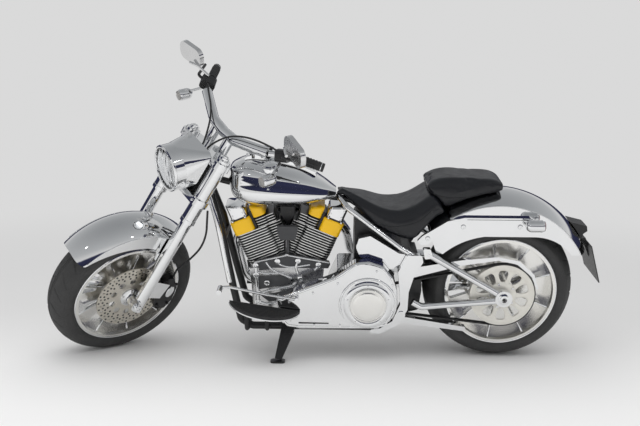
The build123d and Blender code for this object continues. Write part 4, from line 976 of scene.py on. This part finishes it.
def rim_ribs(low, high_inner, high_outer):
    """Thin ribs with a bevelled top that rises from the hub to a dished rim, turned to each angle."""
    inner, outer = RIB_REACH
    share = np.linspace(0, 1, 12)
    radius = inner + (outer - inner) * share
    top = high_inner + (high_outer - high_inner) * share**1.8
    half = 3.2 + 2.2 * share**6
    foot, bevel = low + 0 * top, top - 2.5
    across = np.stack((-half, half, half, 0.45 * half, -0.45 * half, -half), 1)
    level = np.stack((foot, foot, bevel, top, top, bevel), 1)
    across = np.vstack((across[:1] * 0, across, across[-1:] * 0))
    level = np.vstack((level[:1] * 0 + low, level, level[-1:] * 0 + low))
    radius = np.concatenate((radius[:1], radius, radius[-1:]))
    turns = np.arange(RIB_COUNT) * tau / RIB_COUNT
    c, s = np.cos(turns)[:, None, None], np.sin(turns)[:, None, None]
    x = radius[:, None] * c - across * s
    z = radius[:, None] * s + across * c
    points = np.stack((x, np.broadcast_to(level, x.shape), z), -1).reshape(RIB_COUNT, -1, 3)
    faces = quads(len(radius), 6, False, True)
    steps = np.arange(RIB_COUNT)[:, None, None] * points.shape[1]
    return points.reshape(-1, 3), (faces[None] + steps).reshape(-1, 4)


def round_places(radius, count, y, start=0.0, centre=(0.0, 0.0)):
    """Evenly spaced places on a circle square to Y: centre + radius * (cos t, sin t)."""
    t = start + np.arange(count) * tau / count
    x, z = centre[0] + radius * np.cos(t), centre[1] + radius * np.sin(t)
    return np.column_stack((x, np.full(count, y), z))


class MOTORCYCLE_OT_wheels(bpy.types.Operator):
    """Rim ribs and lips, disc fasteners, the windowed belt pulley and the axle ends"""

    bl_idname = "motorcycle.wheels"
    bl_label = "Wheels"

    def execute(self, context):
        self.rims()
        self.discs()
        self.pulley()
        self.axles()
        return {"FINISHED"}

    def rims(self):
        """Thin ribs behind the spokes of each rim, and a rounded lip at its edge."""
        on_front_wheel("front_rim_ribs", both(rim_ribs(12, 34, 54)), "chrome", "polished_alloy")
        pair = [rim_ribs(32, 72, 95), flipped(rim_ribs(-8, 60, 95))]
        on_rear_wheel("rear_rim_ribs", pair, "chrome", "polished_alloy")
        lip = revolve(ring(RIM_LIP), 96)
        on_front_wheel("front_rim_lips", both(moved(lip, (0, 68, 0))), "chrome", "polished_alloy")
        on_rear_wheel("rear_rim_lips", both(moved(lip, (0, 109, 0))), "chrome", "polished_alloy")

    def discs(self):
        """Hub ring, bolts, and thin dark discs of painted shade where the brake discs are drilled."""
        face = FRONT_DISC_FACE
        hub = revolve(ring([(14, face), (46, face), (44, 88), (30, 91), (24, 97), (14, 97)]), 48)
        on_front_wheel("front_hub_ring", hub, "chrome")
        head = bolt(5.2, 6)
        on_front_wheel("front_disc_bolts", stamp(head, round_places(*DISC_BOLTS, 86)), "chrome")
        # painted shade: thin dark discs on the disc face stand for the drilled holes
        hole = revolve([(0, 0), (4.6, 0), (4.6, 0.35), (0, 0.35)], 10)
        rows = np.vstack([round_places(radius, HOLES_IN_A_ROW, face, first) for radius, first in DRILLINGS])
        on_front_wheel("front_disc_drillings", stamp(hole, rows), "bare_socket", "disc_steel")
        rows[:, 1] = REAR_DISC_FACE
        on_rear_wheel("rear_disc_drillings", flipped(stamp(hole, rows)), "bare_socket", "disc_steel")
        heads = stamp(head, round_places(*DISC_BOLTS, REAR_DISC_FACE))
        on_rear_wheel("rear_disc_bolts", flipped(heads), "chrome")

    def pulley(self):
        """Belt pulley: a stepped outer ring and a hub, joined by spokes that flare into the ring."""
        share = np.linspace(0, 1, 18)
        radius = (58 + 58 * share)[:, None]
        half = 8.5 + 25 * share**7 + 5 * (1 - share) ** 6
        section = rounded(2, 7.4, 0.9, 3)
        across = section[None, :, 0] * half[:, None]
        across[[0, -1]] *= 0
        level = PULLEY_MIDDLE + np.repeat(section[None, :, 1], len(radius), 0)
        faces = quads(len(radius), len(section), False, True)
        spokes = []
        for turn in np.arange(PULLEY_SPOKES) * tau / PULLEY_SPOKES:
            x = radius * cos(turn) - across * sin(turn)
            z = radius * sin(turn) + across * cos(turn)
            spokes.append((np.stack((x, level, z), -1).reshape(-1, 3), faces))
        parts = [revolve(ring(PULLEY_RING), 120), revolve(ring(PULLEY_HUB), 64), *spokes]
        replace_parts(on_rear_wheel("belt_pulley", parts, "pulley_finish"), "rear_pulley")
        on_rear_wheel("pulley_bolts", stamp(bolt(5.5, 5), round_places(54, 5, 145.4)), "chrome")

    def axles(self):
        """Caps at the rear axle's ends with a dark sheet of painted shade in each socket, and caps at the front
        axle's ends.
        """
        on_rear_axle("rear_axle_caps", both(revolve(REAR_CAP, 30)), "chrome")
        # painted shade: a thin dark disc at the floor of each cap's socket
        on_rear_axle("rear_axle_sockets", both(revolve(REAR_SOCKET, 6)), "bare_socket", "black_plastic")
        on_fork("front_axle_caps", both(revolve(FRONT_CAP, 28)), "chrome")


# ------------------------------------------------------------------ engine
ROCKER_ROOF = 685.0  # height of the rocker boxes
# heights up a bank
DECK = 383.4
FIN_PITCH, FIN_THICK = 11.6, 4.2
BARREL_FINS = 239.4 + FIN_PITCH * np.arange(13)
HEAD_FINS = 383.6 + FIN_PITCH * np.arange(4)
# bank blocks: first and last across, half width, foot, roof, corner and edge
HEAD_BLOCKS = ((-12, 79, 75, DECK, 448, 16, 7), (-79, -24, 72, 431, None, 16, 6))
HEAD_CORE = (-68, -24, 58, 383.6, 432, 12, 1)
WEB_END, WEB_HALF = -70, 64  # where a fin's inner part meets its outer one, and its half width
BARREL_REACH, HEAD_REACH = -128, -112  # furthest in that a fin may start
BANK_GAP = 9  # half the gap between the fins of the two banks
ROCKER_BOX = (-8, 70, 70, 452, None, 18, 7)
GASKETS = ((-11, 74, 73, 447, 453, 16, 1), (-26, -9, 60, 384, 462, 5, 2))
DUCT = [(910, 450), (924, 450), (925, 600), (950, 650), (950, 684), (886, 684), (886, 650), (909, 600)]
# crankcase side, as places along and up
CASE_SKYLINE = [(1064, 436), (1060, 448), (922, 482), (914, 482), (738, 450), (734, 436)]
CASE_RIBS = (
    ([(1056, 436), (1050, 380), (1046, 262)], 8), ([(1046, 300), (960, 322), (884, 338)], 6),
    ([(1010, 446), (980, 410), (900, 372)], 5), ([(870, 458), (880, 420), (862, 372)], 6),
    ([(786, 442), (786, 430), (800, 412)], 7), ([(1052, 400), (1000, 392), (930, 398)], 5),
    ([(960, 460), (950, 436), (900, 424), (820, 436)], 4.5), ([(1046, 262), (1000, 250), (950, 262)], 6),
)
CASE_BOSSES = [
    (1054, 432), (1052, 388), (1046, 262), (1046, 304), (884, 340), (862, 372), (784, 438), (960, 452),
    (872, 454), (1006, 352),
]
# outlines of the dark plates of painted shade for the case's recesses, as places along and up
CASE_WELLS = (
    [(1040, 380), (1040, 318), (900, 350), (930, 388)], [(1038, 438), (1018, 442), (990, 412), (1040, 406)],
    [(946, 446), (892, 452), (896, 434), (940, 440)], [(856, 448), (806, 442), (806, 436), (862, 434)],
    [(1034, 290), (900, 320), (900, 270), (1000, 262)],
)
SHOULDER_FACE, RIB_LEVEL, BOSS_FOOT = 95, 93, 92
BOSS = [(0, 0), (13, 0), (12, 8), (8, 9.5), (5.5, 9.5), (5, 6), (0, 6)]
# primary cover
PRIMARY_FACE = 204.0
PRIMARY_LINE = [
    (944, 312), (712, 411), (629, 472), (573, 478), (517, 458), (484, 416), (466, 364), (461, 298),
    (489, 231), (536, 202), (856, 198), (926, 221),
]
PRIMARY_SCREWS = [
    (906, 310), (806, 352), (702, 396), (540, 452), (474, 392), (472, 270), (520, 214), (690, 206),
    (800, 206), (900, 226),
]
BORDER_SECTION = np.array(((4.5, 0), (3.4, 2.6), (0, 3.6), (-3.4, 2.6), (-4.5, 0), (0, -2.0)))
# outline of the dark strip of painted shade that stands for the slot, as places along and up
PRIMARY_SLOT = [(866, 211), (738, 211), (738, 216), (866, 218)]
DERBY = (574.0, 301.0)  # middle of the round cover
DERBY_STEP = ring([(79, 211), (79, 216), (84, 219), (96, 218), (102, 213), (103, 208)])
CREST_RADIUS, CREST_STEPS = 118, 60
DOME = [
    (0, 212.3), (77, 212.3), (77, 219), (74, 223), (69, 224.3), (66.5, 222.6), (64, 222.6), (61.5, 224.3),
    (50, 225.6), (30, 226.8), (0, 227.2),
]
# right side
AIR_CLEANER = (920, 0, 590)
CLEANER_RING = ring([(96, -172), (84, -172), (82, -175), (90, -176.5)])
CLEANER_CAP = [(0, -170), (40, -172), (40, -175), (34, -177), (0, -178)]
CAM_SCREWS = [
    (996, 380), (844, 380), (820, 320), (832, 226), (870, 202), (976, 202), (1014, 244), (1022, 330),
]
MUFFLERS = ((600, -40, 236), (540, -100, 338))  # front end, rear end and height
MUFFLER_SIDE = -248
CLAMP = ring([(42.2, -9), (45.2, -8), (45.8, 0), (45.2, 8), (42.2, 9)])
# dark plug of painted shade inside each exhaust outlet: radius and place along
OUTLET = [(0, 58), (36.5, 58), (36.5, 50), (10, 44), (0, 44)]


def at_level(y, pairs):
    """Points with the given Y from places along and up."""
    return [(x, y, z) for x, z in pairs]


def on_bank(part, side):
    """Bank coordinates (outward, sideways, up the bank) to bike coordinates."""
    c, s = cos(BANK), sin(BANK)
    across, y, up = part[0].T
    x = CRANK[0] + side * (across * c + up * s)
    return np.column_stack((x, y, CRANK[2] + up * c - across * s)), part[1]


def bank_block(side, first, last, half, low, high, corner, edge):
    """Block on a bank: a rounded plan, a flat foot, and a roof level with the ground where high is None."""
    plan = rounded(last - first, 2 * half, corner) + ((first + last) / 2, 0)
    middle = plan.mean(0)
    inner = middle + (plan - middle) * (1 - edge / np.linalg.norm(plan - middle, axis=1)[:, None])
    tip = middle + 0 * plan

    def roof(points, drop):
        """Height up the bank at each point of the plan, less a drop."""
        if high is not None:
            return np.full(len(points), high - drop)
        return (ROCKER_ROOF - CRANK[2] + points[:, 0] * sin(BANK)) / cos(BANK) - drop

    foot = np.full(len(plan), low)
    shoulder = plan * 0.35 + inner * 0.65
    rows = [
        (tip, foot), (plan, foot), (plan, roof(plan, edge)), (shoulder, roof(plan, edge * 0.3)),
        (inner, roof(inner, 0)), (tip, roof(tip, 0)),
    ]
    points = np.vstack([np.column_stack((p, h)) for p, h in rows])
    return on_bank((points, quads(len(rows), len(plan), False, True)), side)


class MOTORCYCLE_OT_engine(bpy.types.Operator):
    """Cylinder heads, rocker boxes, crankcase relief, primary trim and the round cover"""

    bl_idname = "motorcycle.engine"
    bl_label = "Engine"

    def execute(self, context):
        self.heads()
        self.fins()
        self.crankcase()
        self.primary()
        self.right_side()
        return {"FINISHED"}

    def heads(self):
        """Heads, rocker boxes, gaskets and screws of both banks."""
        heads, boxes, gaskets, screws = [], [], [], []
        for side in (1, -1):
            heads += [bank_block(side, *size) for size in HEAD_BLOCKS]
            boxes.append(bank_block(side, *ROCKER_BOX))
            gaskets += [bank_block(side, *size) for size in GASKETS]
            places = [(a, y, 448.5) for a in (4, 62) for y in (79, -79)]
            screws.append(on_bank(stamp(bolt(5.5, 7, (0, 0, 1)), places), side))
            screws.append(on_bank(stamp(bolt(4.5, 4), [(8, 69, 470), (56, 69, 470), (56, 69, 500)]), side))
        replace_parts(on_frame("cylinder_head_blocks", heads, "yellow_metal"), "cylinder_heads")
        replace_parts(on_frame("rocker_boxes", boxes, "bright_plate", "chrome"), "rocker_covers")
        on_frame("head_gaskets", gaskets, "black_metal")
        on_frame("head_bolts", screws, "chrome")

    def fins(self):
        """Inner ends of the fins, which run on until the banks almost meet, the duct and the head fins."""
        webs = []
        reaches = [(h, BARREL_REACH) for h in BARREL_FINS] + [(h, HEAD_REACH) for h in HEAD_FINS]
        for h, furthest in reaches:
            inner = max((BANK_GAP - h * sin(BANK)) / cos(BANK), furthest)
            webs += [bank_block(side, inner, WEB_END, WEB_HALF, h, h + FIN_THICK, 6, 1) for side in (1, -1)]
        on_frame("fin_webs", webs, "fin_metal", "black_metal")
        on_frame("intake_duct", slab(DUCT, -60, 40, 5), "black_metal")
        fins = [
            bank_block(side, -79, -26, 71, h, h + FIN_THICK, 12, 1.2) for side in (1, -1) for h in HEAD_FINS
        ]
        on_frame("head_fins", fins, "fin_metal", "black_metal")
        on_frame("head_cores", [bank_block(side, *HEAD_CORE) for side in (1, -1)], "black_metal")

    def crankcase(self):
        """Shoulder plate with a raised peak line, and ribs, bosses and thin dark plates of painted shade for the
        recesses on the side.
        """
        shoulder = slab([(1060, 420), *CASE_SKYLINE, (742, 420)], 76, SHOULDER_FACE, 3)
        peak = flow(at_level(SHOULDER_FACE, CASE_SKYLINE[1:-1]), 60) - (0, 0, 4)
        on_frame("case_shoulder", shoulder, "dark_cover")
        on_frame("case_bead", rod(peak, 4.2), "chrome", "polished_alloy")
        ribs = [rod(flow(at_level(RIB_LEVEL, line), 24), radius, 12) for line, radius in CASE_RIBS]
        bosses = stamp(revolve(BOSS, 22), at_level(BOSS_FOOT, CASE_BOSSES))
        on_frame("case_ribs", [*ribs, bosses], "chrome", "polished_alloy")
        # painted shade: thin dark plates on the case side where its recesses fall in shade
        on_frame("case_recesses", [slab(w, 91, 92.8, 0.6) for w in CASE_WELLS], "dark_cover", crease=60)

    def primary(self):
        """Border, screws and a dark strip of painted shade for the slot of the primary cover, and the stepped ring
        round the domed cover.
        """
        line = np.array(at_level(PRIMARY_FACE - 0.5, PRIMARY_LINE), float)
        line = flow(np.vstack((line, line[:1])), 200)[:-1]
        border = sweep(line, BORDER_SECTION, up=(0, 1, 0), closed=True)
        steps = np.arange(CREST_STEPS)
        taper = np.minimum(1, np.minimum(steps, steps[::-1]) / 6 + 0.2)
        crest = rod(arch(DERBY, CREST_RADIUS, (-35, 215), CREST_STEPS, PRIMARY_FACE), 5, scale=taper)
        middle = (DERBY[0], 0, DERBY[1])
        trim = [border, crest, revolve(DERBY_STEP, 96, middle)]
        on_frame("primary_trim", trim, "bright_plate", "chrome")
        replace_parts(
            on_frame("round_cover", revolve(DOME, 120, middle), "cover_plate", "chrome"), "derby_cover",
        )
        screws = stamp(bolt(5.5, 5.5), at_level(PRIMARY_FACE, PRIMARY_SCREWS))
        small = stamp(bolt(4.0, 3.0), round_places(90.5, 5, 218.5, 0.3, DERBY))
        on_frame("primary_screws", [screws, small], "chrome")
        # painted shade: a thin dark strip stands for the slot's groove
        on_frame("primary_slot", slab(PRIMARY_SLOT, 203, 204.8, 0.5), "bare_socket", "black_plastic")

    def right_side(self):
        """Air cleaner rings and screws, cam cover screws, exhaust clamps, and dark plugs of painted shade in the
        outlets.
        """
        rings = [revolve(CLEANER_RING, 96, AIR_CLEANER), revolve(CLEANER_CAP, 64, AIR_CLEANER)]
        on_frame("air_cleaner_rings", rings, "chrome")
        spots = np.vstack((round_places(64, 3, -172, 0.5, AIR_CLEANER[::2]), at_level(-120, CAM_SCREWS)))
        on_frame("right_side_screws", stamp(bolt(6, 6, (0, -1, 0)), spots), "chrome")
        clamps, outlets = [], []
        for front, rear, z in MUFFLERS:
            for x in (front - 66, front - 330, rear + 14):
                clamps.append(revolve(CLAMP, 48, (x, MUFFLER_SIDE, z), (1, 0, 0)))
            # painted shade: a dark plug fills each muffler's open end
            outlets.append(revolve(OUTLET, 40, (rear, MUFFLER_SIDE, z), (1, 0, 0)))
        on_frame("exhaust_clamps", clamps, "chrome")
        on_frame("exhaust_outlets", outlets, "bare_socket", "black_metal")


# ------------------------------------------------------------------ front end
LAMP = (1440, 0, 891)
LAMP_RIM = ring([(86.4, 9), (98.6, 9), (99.8, 13), (98.5, 17), (93, 20.5), (88, 19), (86.4, 15)])
SIGNAL_LENS = [(0, 0), (21.5, 0), (21, 2.5), (15, 5.5), (8, 7), (0, 7.5)]
CALIPER_BOLTS = [(-196, 98.9, 2), (-148, 98.9, -14), (-186, 98.9, 108), (-128, 98.9, 120)]
GRIP_ENDS = ((-138, 327, 927.0), (-220, 430, 957.0))  # inner and outer, in fork axes
GRIP_RADIUS, GRIP_RING, GRIP_PITCH = 18.3, 1.3, 12.5  # plain radius, height and spacing of its rings
GRIP_CAP = [(0, -2), (15, -2), (18.5, 0), (18, 3), (12, 5), (0, 5.5)]
FRONT_BEAD, FRONT_BEAD_SIDE = 326, 97  # radius and distance to the side of the fender's edge


class MOTORCYCLE_OT_front(bpy.types.Operator):
    """Lamp rim, caliper detail, clamp bolts, grip sleeves, signal lenses and fender beads"""

    bl_idname = "motorcycle.front"
    bl_label = "Front End"

    def execute(self, context):
        on_steered("lamp_rim", revolve(LAMP_RIM, 96, LAMP, (1, 0, 0)), "bright_plate", "chrome")
        t = np.linspace(0, tau, 40, endpoint=False)
        badge = slab(np.column_stack((-176 + 17 * np.cos(t), 62 + 30 * np.sin(t))), 98.9, 102.5, 2.0)
        on_fork("caliper_plate", badge, "chrome", "polished_alloy")
        on_fork("caliper_bolts", stamp(bolt(6.5, 7), CALIPER_BOLTS), "black_metal")
        pinch = [(19.5, y, s) for y in (-128, 128) for s in (545, 724)]
        bolts = [
            stamp(bolt(5.5, 7, (1, 0, 0)), pinch),
            stamp(bolt(13, 7, (0, 0, 1), 6), [(-22, -128, 764), (-22, 128, 764)]),
            stamp(bolt(18, 10, (0, 0, 1), 6), (-78, 0, 739.4)),
        ]
        on_fork("fork_bolts", bolts, "chrome")
        self.grips()
        lenses = [revolve(SIGNAL_LENS, 36, (1217, y, 984), (1, 0, 0)) for y in (352, -352)]
        on_steered("front_signal_lenses", lenses, "smoke_glass", "dark_lamp")
        sides = (FRONT_BEAD_SIDE, -FRONT_BEAD_SIDE)
        beads = [rod(arch((0, 0), FRONT_BEAD, (25.5, 105.5), 90, y), 2.3) for y in sides]
        on_fork("front_fender_beads", beads, "bright_plate")
        return {"FINISHED"}

    def grips(self):
        """Grip sleeves: a surface of revolution along each grip whose radius rises in rounded rings."""
        sleeves, ends = [], []
        for side in (1, -1):
            start, end = (np.array(place) * (1, side, 1) for place in GRIP_ENDS)
            length = np.linalg.norm(end - start)
            x = np.linspace(2, length - 9, 90)
            wave = np.clip(np.sin(x * tau / GRIP_PITCH) * 2.2, -1, 1)
            r = GRIP_RADIUS + GRIP_RING * wave * (x > 14) * (x < length - 17)
            profile = np.column_stack((np.concatenate(((0,), r, (0,))), np.concatenate((x[:1], x, x[-1:]))))
            sleeves.append(revolve(profile, 32, start, end - start))
            ends.append(revolve(GRIP_CAP, 32, end - unit(end - start) * 8, end - start))
        on_fork("grip_sleeves", sleeves, "black_rubber")
        on_fork("grip_ends", ends, "chrome")


# ------------------------------------------------------------------ bodywork
GAUGE, GAUGE_TILT = np.array((1030, 0, 894)), (0.12, 0.0, 0.993)
GAUGE_RIM = ring([(47, 21.6), (56.5, 21.6), (57.5, 25), (54, 28.5), (49, 27)])
GAUGE_DIAL = [(0, 22), (48.5, 22), (48.5, 24), (9, 24), (8, 27), (0, 28)]
TICKS = 27
TICK_CORNERS = ((37, -0.02), (45, -0.017), (45, 0.017), (37, 0.02))  # radius and turn
BOX_FACES = np.array(((0, 1, 2, 3), (4, 5, 6, 7), (0, 1, 5, 4), (1, 2, 6, 5), (2, 3, 7, 6), (3, 0, 4, 7)))
# across and up, as shares of the half width and the height: a leaning flank over a full belly
TANK_HALF_SECTION = [
    (0, 0), (0.4, 0), (0.72, 0.04), (0.91, 0.15), (0.98, 0.28), (0.985, 0.4), (0.948, 0.52), (0.911, 0.64),
    (0.862, 0.76), (0.75, 0.87), (0.55, 0.95), (0.28, 0.99), (0, 1),
]
# place along, half width, bottom, top
TANK_SECTIONS = [
    (1164.5, 20, 786, 826), (1163, 46, 768, 846), (1142, 104, 730, 868), (1080, 152, 706, 886),
    (980, 168, 704, 878), (860, 146, 706, 846), (770, 98, 714, 796), (712, 46, 724, 756),
]
TUNNEL_HALF = 30.0
TUNNEL_PLACES, TUNNEL_TOPS = (690, 1120, 1250), (744, 796, 830)
TANK_CAP = [(0, -24), (35, -24), (37, 2), (34, 7), (31, 8), (29, 6), (26, 12), (14, 16), (0, 17)]
STUD = [(0, 0), (10.5, 0), (10.5, 2), (8, 5.5), (3.4, 6.2), (3, 4), (0, 4)]
STUD_PLACES = ((185, 637), (-50, 639), (330, 584))
# dark line of painted shade along the top edge of each strut, as places along and up
STRUT_LINE = [(170, 667), (-84, 667), (-84, 669), (170, 669)]
REAR_BEAD, REAR_BEAD_MIDDLE, REAR_BEAD_SIDE = 390, (28, 332), 140.4  # the fender's edge
DOWN_TUBE = [(1246, 34, 742), (1206, 66, 610), (1178, 86, 470), (1156, 102, 356)]
TAIL_LENS = [(-350, 571), (-367.5, 584), (-363.5, 604), (-345, 600), (-340, 585)]
PLATE_TOP, PLATE_LOW = np.array((-367.0, 538.0)), np.array((-416.0, 374.0))
BOARD_PLACE, BOARD_TILT = (1010, 212, 280), radians(9)
BOARD_HALF, BOARD_DEPTH = 150, 112  # half its length, and its depth at the middle
BOARD_EDGE = rounded(5, 7, 2, 3)


class MOTORCYCLE_OT_body(bpy.types.Operator):
    """Tank, caps and gauge, fender beads, strut bolts, rear lamps, blank plate, footboards and tube covers"""

    bl_idname = "motorcycle.body"
    bl_label = "Bodywork"

    def execute(self, context):
        self.gauge()
        self.tank()
        sides = (REAR_BEAD_SIDE, -REAR_BEAD_SIDE)
        beads = [rod(arch(REAR_BEAD_MIDDLE, REAR_BEAD, (44, 152.5), 120, y), 2.4) for y in sides]
        on_frame("rear_fender_beads", beads, "bright_plate")
        studs = stamp(revolve(STUD, 24), at_level(158.3, STUD_PLACES))
        on_frame("strut_bolts", both(studs), "chrome")
        # painted shade: a thin dark strip along each strut's top edge
        on_frame("strut_lines", both(slab(STRUT_LINE, 157.6, 158.8, 0.3)), "bare_socket", "black_plastic")
        self.rear_lamps()
        self.footboards()
        tube = flow(DOWN_TUBE, 40) + (9, 9, 3)
        covers = [rod(tube * (1, side, 1), 12, 18) for side in (1, -1)]
        on_frame("down_tube_covers", covers, "bright_plate", "chrome")
        return {"FINISHED"}

    def gauge(self):
        """Rim, dial and raised ticks of the gauge on the tank."""
        on_frame("gauge_rim", revolve(GAUGE_RIM, 72, GAUGE, GAUGE_TILT), "chrome")
        on_frame("gauge_dial", revolve(GAUGE_DIAL, 64, GAUGE, GAUGE_TILT), "dark_cover")
        t = np.radians(np.linspace(-130, 130, TICKS))
        up, side = unit(GAUGE_TILT), np.array((0, 1, 0))
        ahead = unit(np.cross(side, up))
        turned = [(r * np.cos(t + w), r * np.sin(t + w)) for r, w in TICK_CORNERS]
        flat = np.stack([x[:, None] * ahead + y[:, None] * side for x, y in turned], 1) + GAUGE + 24.4 * up
        raised = np.stack((flat, flat + 0.4 * up), 1).reshape(-1, 3)
        faces = np.arange(TICKS)[:, None, None] * 8 + BOX_FACES
        on_frame("gauge_ticks", (raised, faces.reshape(-1, 4)), "plate_face")

    def tank(self):
        """Fuel tank: one smooth surface through rounded sections, notched below for the backbone."""
        half_ring = flow(TANK_HALF_SECTION, 73)
        outline = np.vstack((half_ring, (half_ring * (-1, 1))[-2:0:-1]))
        rows = []
        for x, half, low, high in flow(TANK_SECTIONS, 90):
            y, z = half * outline[:, 0], low + (high - low) * outline[:, 1]
            roof = min(np.interp(x, TUNNEL_PLACES, TUNNEL_TOPS), high - 6)
            z = np.where(abs(y) < TUNNEL_HALF, np.maximum(z, roof), z)
            rows.append(np.column_stack((np.full(len(y), x), y, z)))
        ends = [np.tile(row.mean(0), (len(row), 1)) for row in (rows[0], rows[-1])]
        shell = (np.vstack((ends[0], *rows, ends[1])), quads(len(rows) + 2, len(outline), False, True))
        slot = SLOT_OF["fuel_tank"]
        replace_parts(on_frame("tank_shell", shell, "bright_plate", slot, crease=45), "fuel_tank")
        caps = [revolve(TANK_CAP, 60, (985, side * 104, 872), (0.04, side * 0.22, 0.97)) for side in (1, -1)]
        on_frame("tank_caps", caps, "bright_plate", "chrome")

    def rear_lamps(self):
        """Signal lenses, the tail lens let into its visor, and the blank plate in its frame."""
        lenses = [revolve(SIGNAL_LENS, 36, (-138, y, 656), (-1, 0, 0)) for y in (196, -196)]
        on_frame("rear_signal_lenses", lenses, "dark_lamp")
        on_frame("tail_lens", slab(TAIL_LENS, -40, 40, 3), "dark_lamp")
        run = unit(PLATE_LOW - PLATE_TOP)
        back = np.array((run[1], -run[0]))
        centre = (PLATE_TOP + PLATE_LOW) / 2 + back * 4.6
        for name, plan, thick, lift, finish in (
            ("blank_plate", rounded(204, 156, 8), 0.8, 0.9, "plate_face"),
            ("plate_frame", rounded(213, 165, 10), 1.0, -0.5, "black_plastic"),
        ):
            rows = []
            for share, height in ((0.0, -thick), (0.985, -thick), (1.0, 0.0), (0.985, thick), (0.0, thick)):
                x, z = (centre + back * (height + lift) + run * plan[:, 1:] * share).T
                rows.append(np.column_stack((x, plan[:, 0] * share, z)))
            on_frame(name, (np.vstack(rows), quads(len(rows), len(plan), False, True)), finish)

    def footboards(self):
        """Bright edge strip and rubber ribs: arcs and bars in the tilted plane of each board."""
        c, s = cos(BOARD_TILT), sin(BOARD_TILT)
        x, y, z = BOARD_PLACE
        radius = (BOARD_HALF**2 + BOARD_DEPTH**2) / (2 * BOARD_DEPTH)
        t = np.linspace(-1, 1, 60) * np.arcsin(BOARD_HALF / radius)
        along, across = radius * np.sin(t), radius * np.cos(t) + BOARD_DEPTH - radius
        strips, ribs = [], []
        for side, outward in ((1, 1.0), (-1, -2.4)):

            def board(p, q, n):
                """Points of this side's board from places along it, out across it and above its plane."""
                p, q, n = np.broadcast_arrays(p, q, n)
                return np.column_stack((x + p * c - n * s, side * (y + q), z + p * s + n * c))

            strips += [sweep(board(along, across + outward, 3.0), BOARD_EDGE)]
            strips += [sweep(board(along[::-1] * 0.995, -1.0, 3.0), BOARD_EDGE)]
            for level in np.arange(16, 104, 12.0):
                half = (radius**2 - (level - BOARD_DEPTH + radius) ** 2) ** 0.5 - 10
                ribs.append(rod(board(np.linspace(-half, half, 8), level, 16.0), 2.6, 8, (0, 0, 1)))
        on_frame("footboard_edges", strips, "chrome")
        on_frame("footboard_ribs", ribs, "black_rubber")


# ------------------------------------------------------------------ add-on
OPERATORS = [
    MOTORCYCLE_OT_finishes, MOTORCYCLE_OT_stage, MOTORCYCLE_OT_cords, MOTORCYCLE_OT_tyres,
    MOTORCYCLE_OT_seats, MOTORCYCLE_OT_wheels, MOTORCYCLE_OT_engine, MOTORCYCLE_OT_front,
    MOTORCYCLE_OT_body,
]
VALUES = {
    "motorcycle_finish": FinishValues, "motorcycle_stage": StageValues, "motorcycle_tyres": TyreValues,
    "motorcycle_seats": SeatValues,
}


class MOTORCYCLE_PT_panel(bpy.types.Panel):
    """Sidebar list of the operators"""

    bl_idname = "MOTORCYCLE_PT_panel"
    bl_label = "Motorcycle"
    bl_space_type = "VIEW_3D"
    bl_region_type = "UI"
    bl_category = "Motorcycle"

    def draw(self, context):
        for operator in OPERATORS:
            self.layout.operator(operator.bl_idname)


def register():
    """Register every class and hang the values on the scene."""
    for group in (*VALUES.values(), *OPERATORS, MOTORCYCLE_PT_panel):
        bpy.utils.register_class(group)
    for name, group in VALUES.items():
        setattr(bpy.types.Scene, name, PointerProperty(type=group))


def unregister():
    """Take the values off the scene and unregister every class."""
    for name in VALUES:
        delattr(bpy.types.Scene, name)
    for group in (MOTORCYCLE_PT_panel, *reversed(OPERATORS), *reversed(VALUES.values())):
        bpy.utils.unregister_class(group)


def main():
    """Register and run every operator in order."""
    register()
    for operator in OPERATORS:
        area, name = operator.bl_idname.split(".")
        getattr(getattr(bpy.ops, area), name)()


if __name__ == "__main__":
    main()
